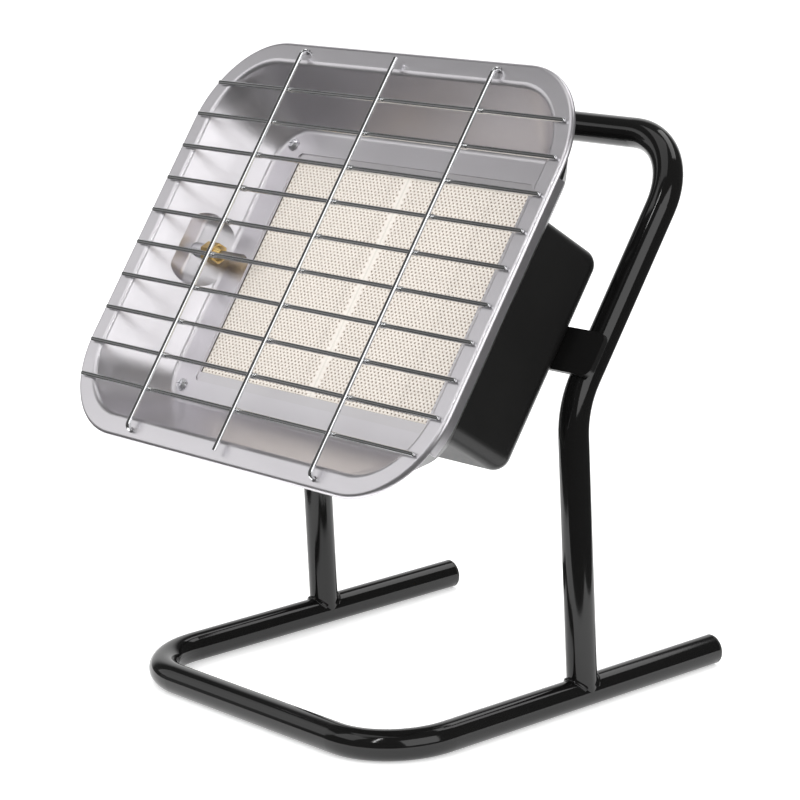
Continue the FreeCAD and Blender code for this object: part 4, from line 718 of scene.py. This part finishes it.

# %% [markdown]
# ## The button's return spring
# CAD holds the spring as a stiff coil. Here it is a round wire carried along a helix, with half a turn at
# each end nearly flat. A curve object with a bevel would look the same, but a grid of points keeps the
# wire's ends closed and its size exact.

# %% Path of the spring
SPRING_TURNS, SPRING_STEPS, SPRING_SIDES = 5.0, 161, 12
SPRING_WIRE = 0.45 * MM
SPRING_FLAT, SPRING_CREEP = 0.1, 0.02
spring_low, spring_high = span("button_spring")
spring_middle = (spring_low + spring_high) / 2
spring_radius = (spring_high[0] - spring_low[0]) / 2 - SPRING_WIRE
spring_length = spring_high[1] - spring_low[1] - 2 * SPRING_WIRE
share = np.linspace(0, 1, SPRING_STEPS)
angle = 2 * np.pi * SPRING_TURNS * share
# Height: level over the flat ends but for a slow creep, and a steady climb between them
climb = np.clip((share - SPRING_FLAT) / (1 - 2 * SPRING_FLAT), 0, 1)
climb = climb + SPRING_CREEP * (share - climb)
height = spring_length * (climb - 0.5)
path = np.stack([spring_radius * np.cos(angle), height, spring_radius * np.sin(angle)], axis=-1)
print("spring", round(2 * spring_radius / MM, 2), "mm across its wire's middle")

# %% Return spring
radial = np.stack([np.cos(angle), np.zeros(SPRING_STEPS), np.sin(angle)], axis=-1)
heading = np.gradient(path, axis=0)
heading /= np.linalg.norm(heading, axis=1, keepdims=True)
binormal = np.cross(heading, radial)
turn = np.linspace(0, 2 * np.pi, SPRING_SIDES, endpoint=False)[None, :, None]
wire = path[:, None] + SPRING_WIRE * (np.cos(turn) * radial[:, None] + np.sin(turn) * binormal[:, None])
first_end = np.arange(SPRING_SIDES)
last_end = SPRING_SIDES * (SPRING_STEPS - 1) + first_end
spring_caps = [first_end[::-1].tolist(), last_end.tolist()]
spring_faces = grid_faces(SPRING_STEPS, SPRING_SIDES).tolist() + spring_caps
spring = build_mesh("return_spring", from_head(spring_middle + wire), spring_faces)
carry(spring, "heater", "stem_steel", "button_spring")
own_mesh(spring)
print("spring of", len(spring_faces), "faces")

# %% [markdown]
# ## The gas inlet's thread
# The nut of a gas hose screws onto the inlet, a brass piece with a hexagon for the spanner. CAD keeps its
# thread as a plain cylinder, which is what a mating part measures. Here the groove is cut: the whole
# inlet is one surface, and its radius depends on the angle and on the place along the axis. In the thread
# it falls and rises in a zigzag that moves on by one pitch per turn, and on the hexagon it is the distance
# from the axis to the flat on that side.

# %% Radius of the hexagon and the thread
INLET_SIDES, THREAD_ROWS = 96, 151
THREAD_RADIUS, THREAD_LENGTH, THREAD_PITCH, THREAD_DEPTH = 6.58 * MM, 10.0 * MM, 1.337 * MM, 0.8 * MM
HEX_HALF, HEX_LENGTH, HEX_CHAMFER, HEX_FACE = 8.5 * MM, 6.0 * MM, 0.8 * MM, 1.03
inlet_low, inlet_high = span("gas_inlet")
inlet_middle = (inlet_low + inlet_high) / 2
sixth = np.pi / 3
around = np.linspace(0, 2 * np.pi, INLET_SIDES, endpoint=False)
corner_up = inlet_high[1] - inlet_low[1] > inlet_high[2] - inlet_low[2]
hexagon = HEX_HALF / np.cos((around + (0 if corner_up else sixth / 2)) % sixth - sixth / 2)
chamfered = np.minimum(hexagon, HEX_FACE * HEX_HALF)

run = np.linspace(0, THREAD_LENGTH, THREAD_ROWS)[:, None]
tooth = np.abs(2 * ((run / THREAD_PITCH - around / (2 * np.pi)) % 1) - 1)
groove = tooth * np.clip(run / THREAD_PITCH, 0, 1)
lead_in = THREAD_RADIUS - np.clip(THREAD_DEPTH - (THREAD_LENGTH - run), 0, None)
thread = np.minimum(THREAD_RADIUS - THREAD_DEPTH * groove, lead_in)
print("thread radius", round(thread.min() / MM, 2), "to", round(thread.max() / MM, 2), "mm")

# %% Threaded inlet
SPIGOT_RADIUS, SPIGOT_LENGTH, BORE_RADIUS = 6.53 * MM, 1.5 * MM, 3.0 * MM
SHARP_ANGLE = math.radians(32)
hex_end = SPIGOT_LENGTH + HEX_LENGTH
# Place along the axis and radius of each row before the thread
plain_rows = [
    (0, BORE_RADIUS),
    (0, SPIGOT_RADIUS),
    (SPIGOT_LENGTH, SPIGOT_RADIUS),
    (SPIGOT_LENGTH, chamfered),
    (SPIGOT_LENGTH + HEX_CHAMFER, hexagon),
    (hex_end - HEX_CHAMFER, hexagon),
    (hex_end, chamfered),
]
plain_places = [along for along, _ in plain_rows]
places = np.concatenate([plain_places, hex_end + run[:, 0], [hex_end + THREAD_LENGTH]])[:, None]
plain_radii = np.array([radius + 0 * around for _, radius in plain_rows])
radii = np.concatenate([plain_radii, thread, [BORE_RADIUS + 0 * around]])
inlet_points = np.stack([inlet_high[0] - places + 0 * radii, inlet_middle[1] + radii * np.cos(around),
                         inlet_middle[2] + radii * np.sin(around)], axis=-1)
inlet_faces = grid_faces(len(radii), INLET_SIDES, looped=True)[:, ::-1].tolist()
inlet = build_mesh("threaded_inlet", from_head(inlet_points), inlet_faces)
inlet.data.set_sharp_from_angle(angle=SHARP_ANGLE)
carry(inlet, "heater", "brass", "gas_inlet")
print("inlet", round((inlet_high[0] - inlet_low[0]) / MM, 2), "mm long,", len(inlet_faces), "faces")
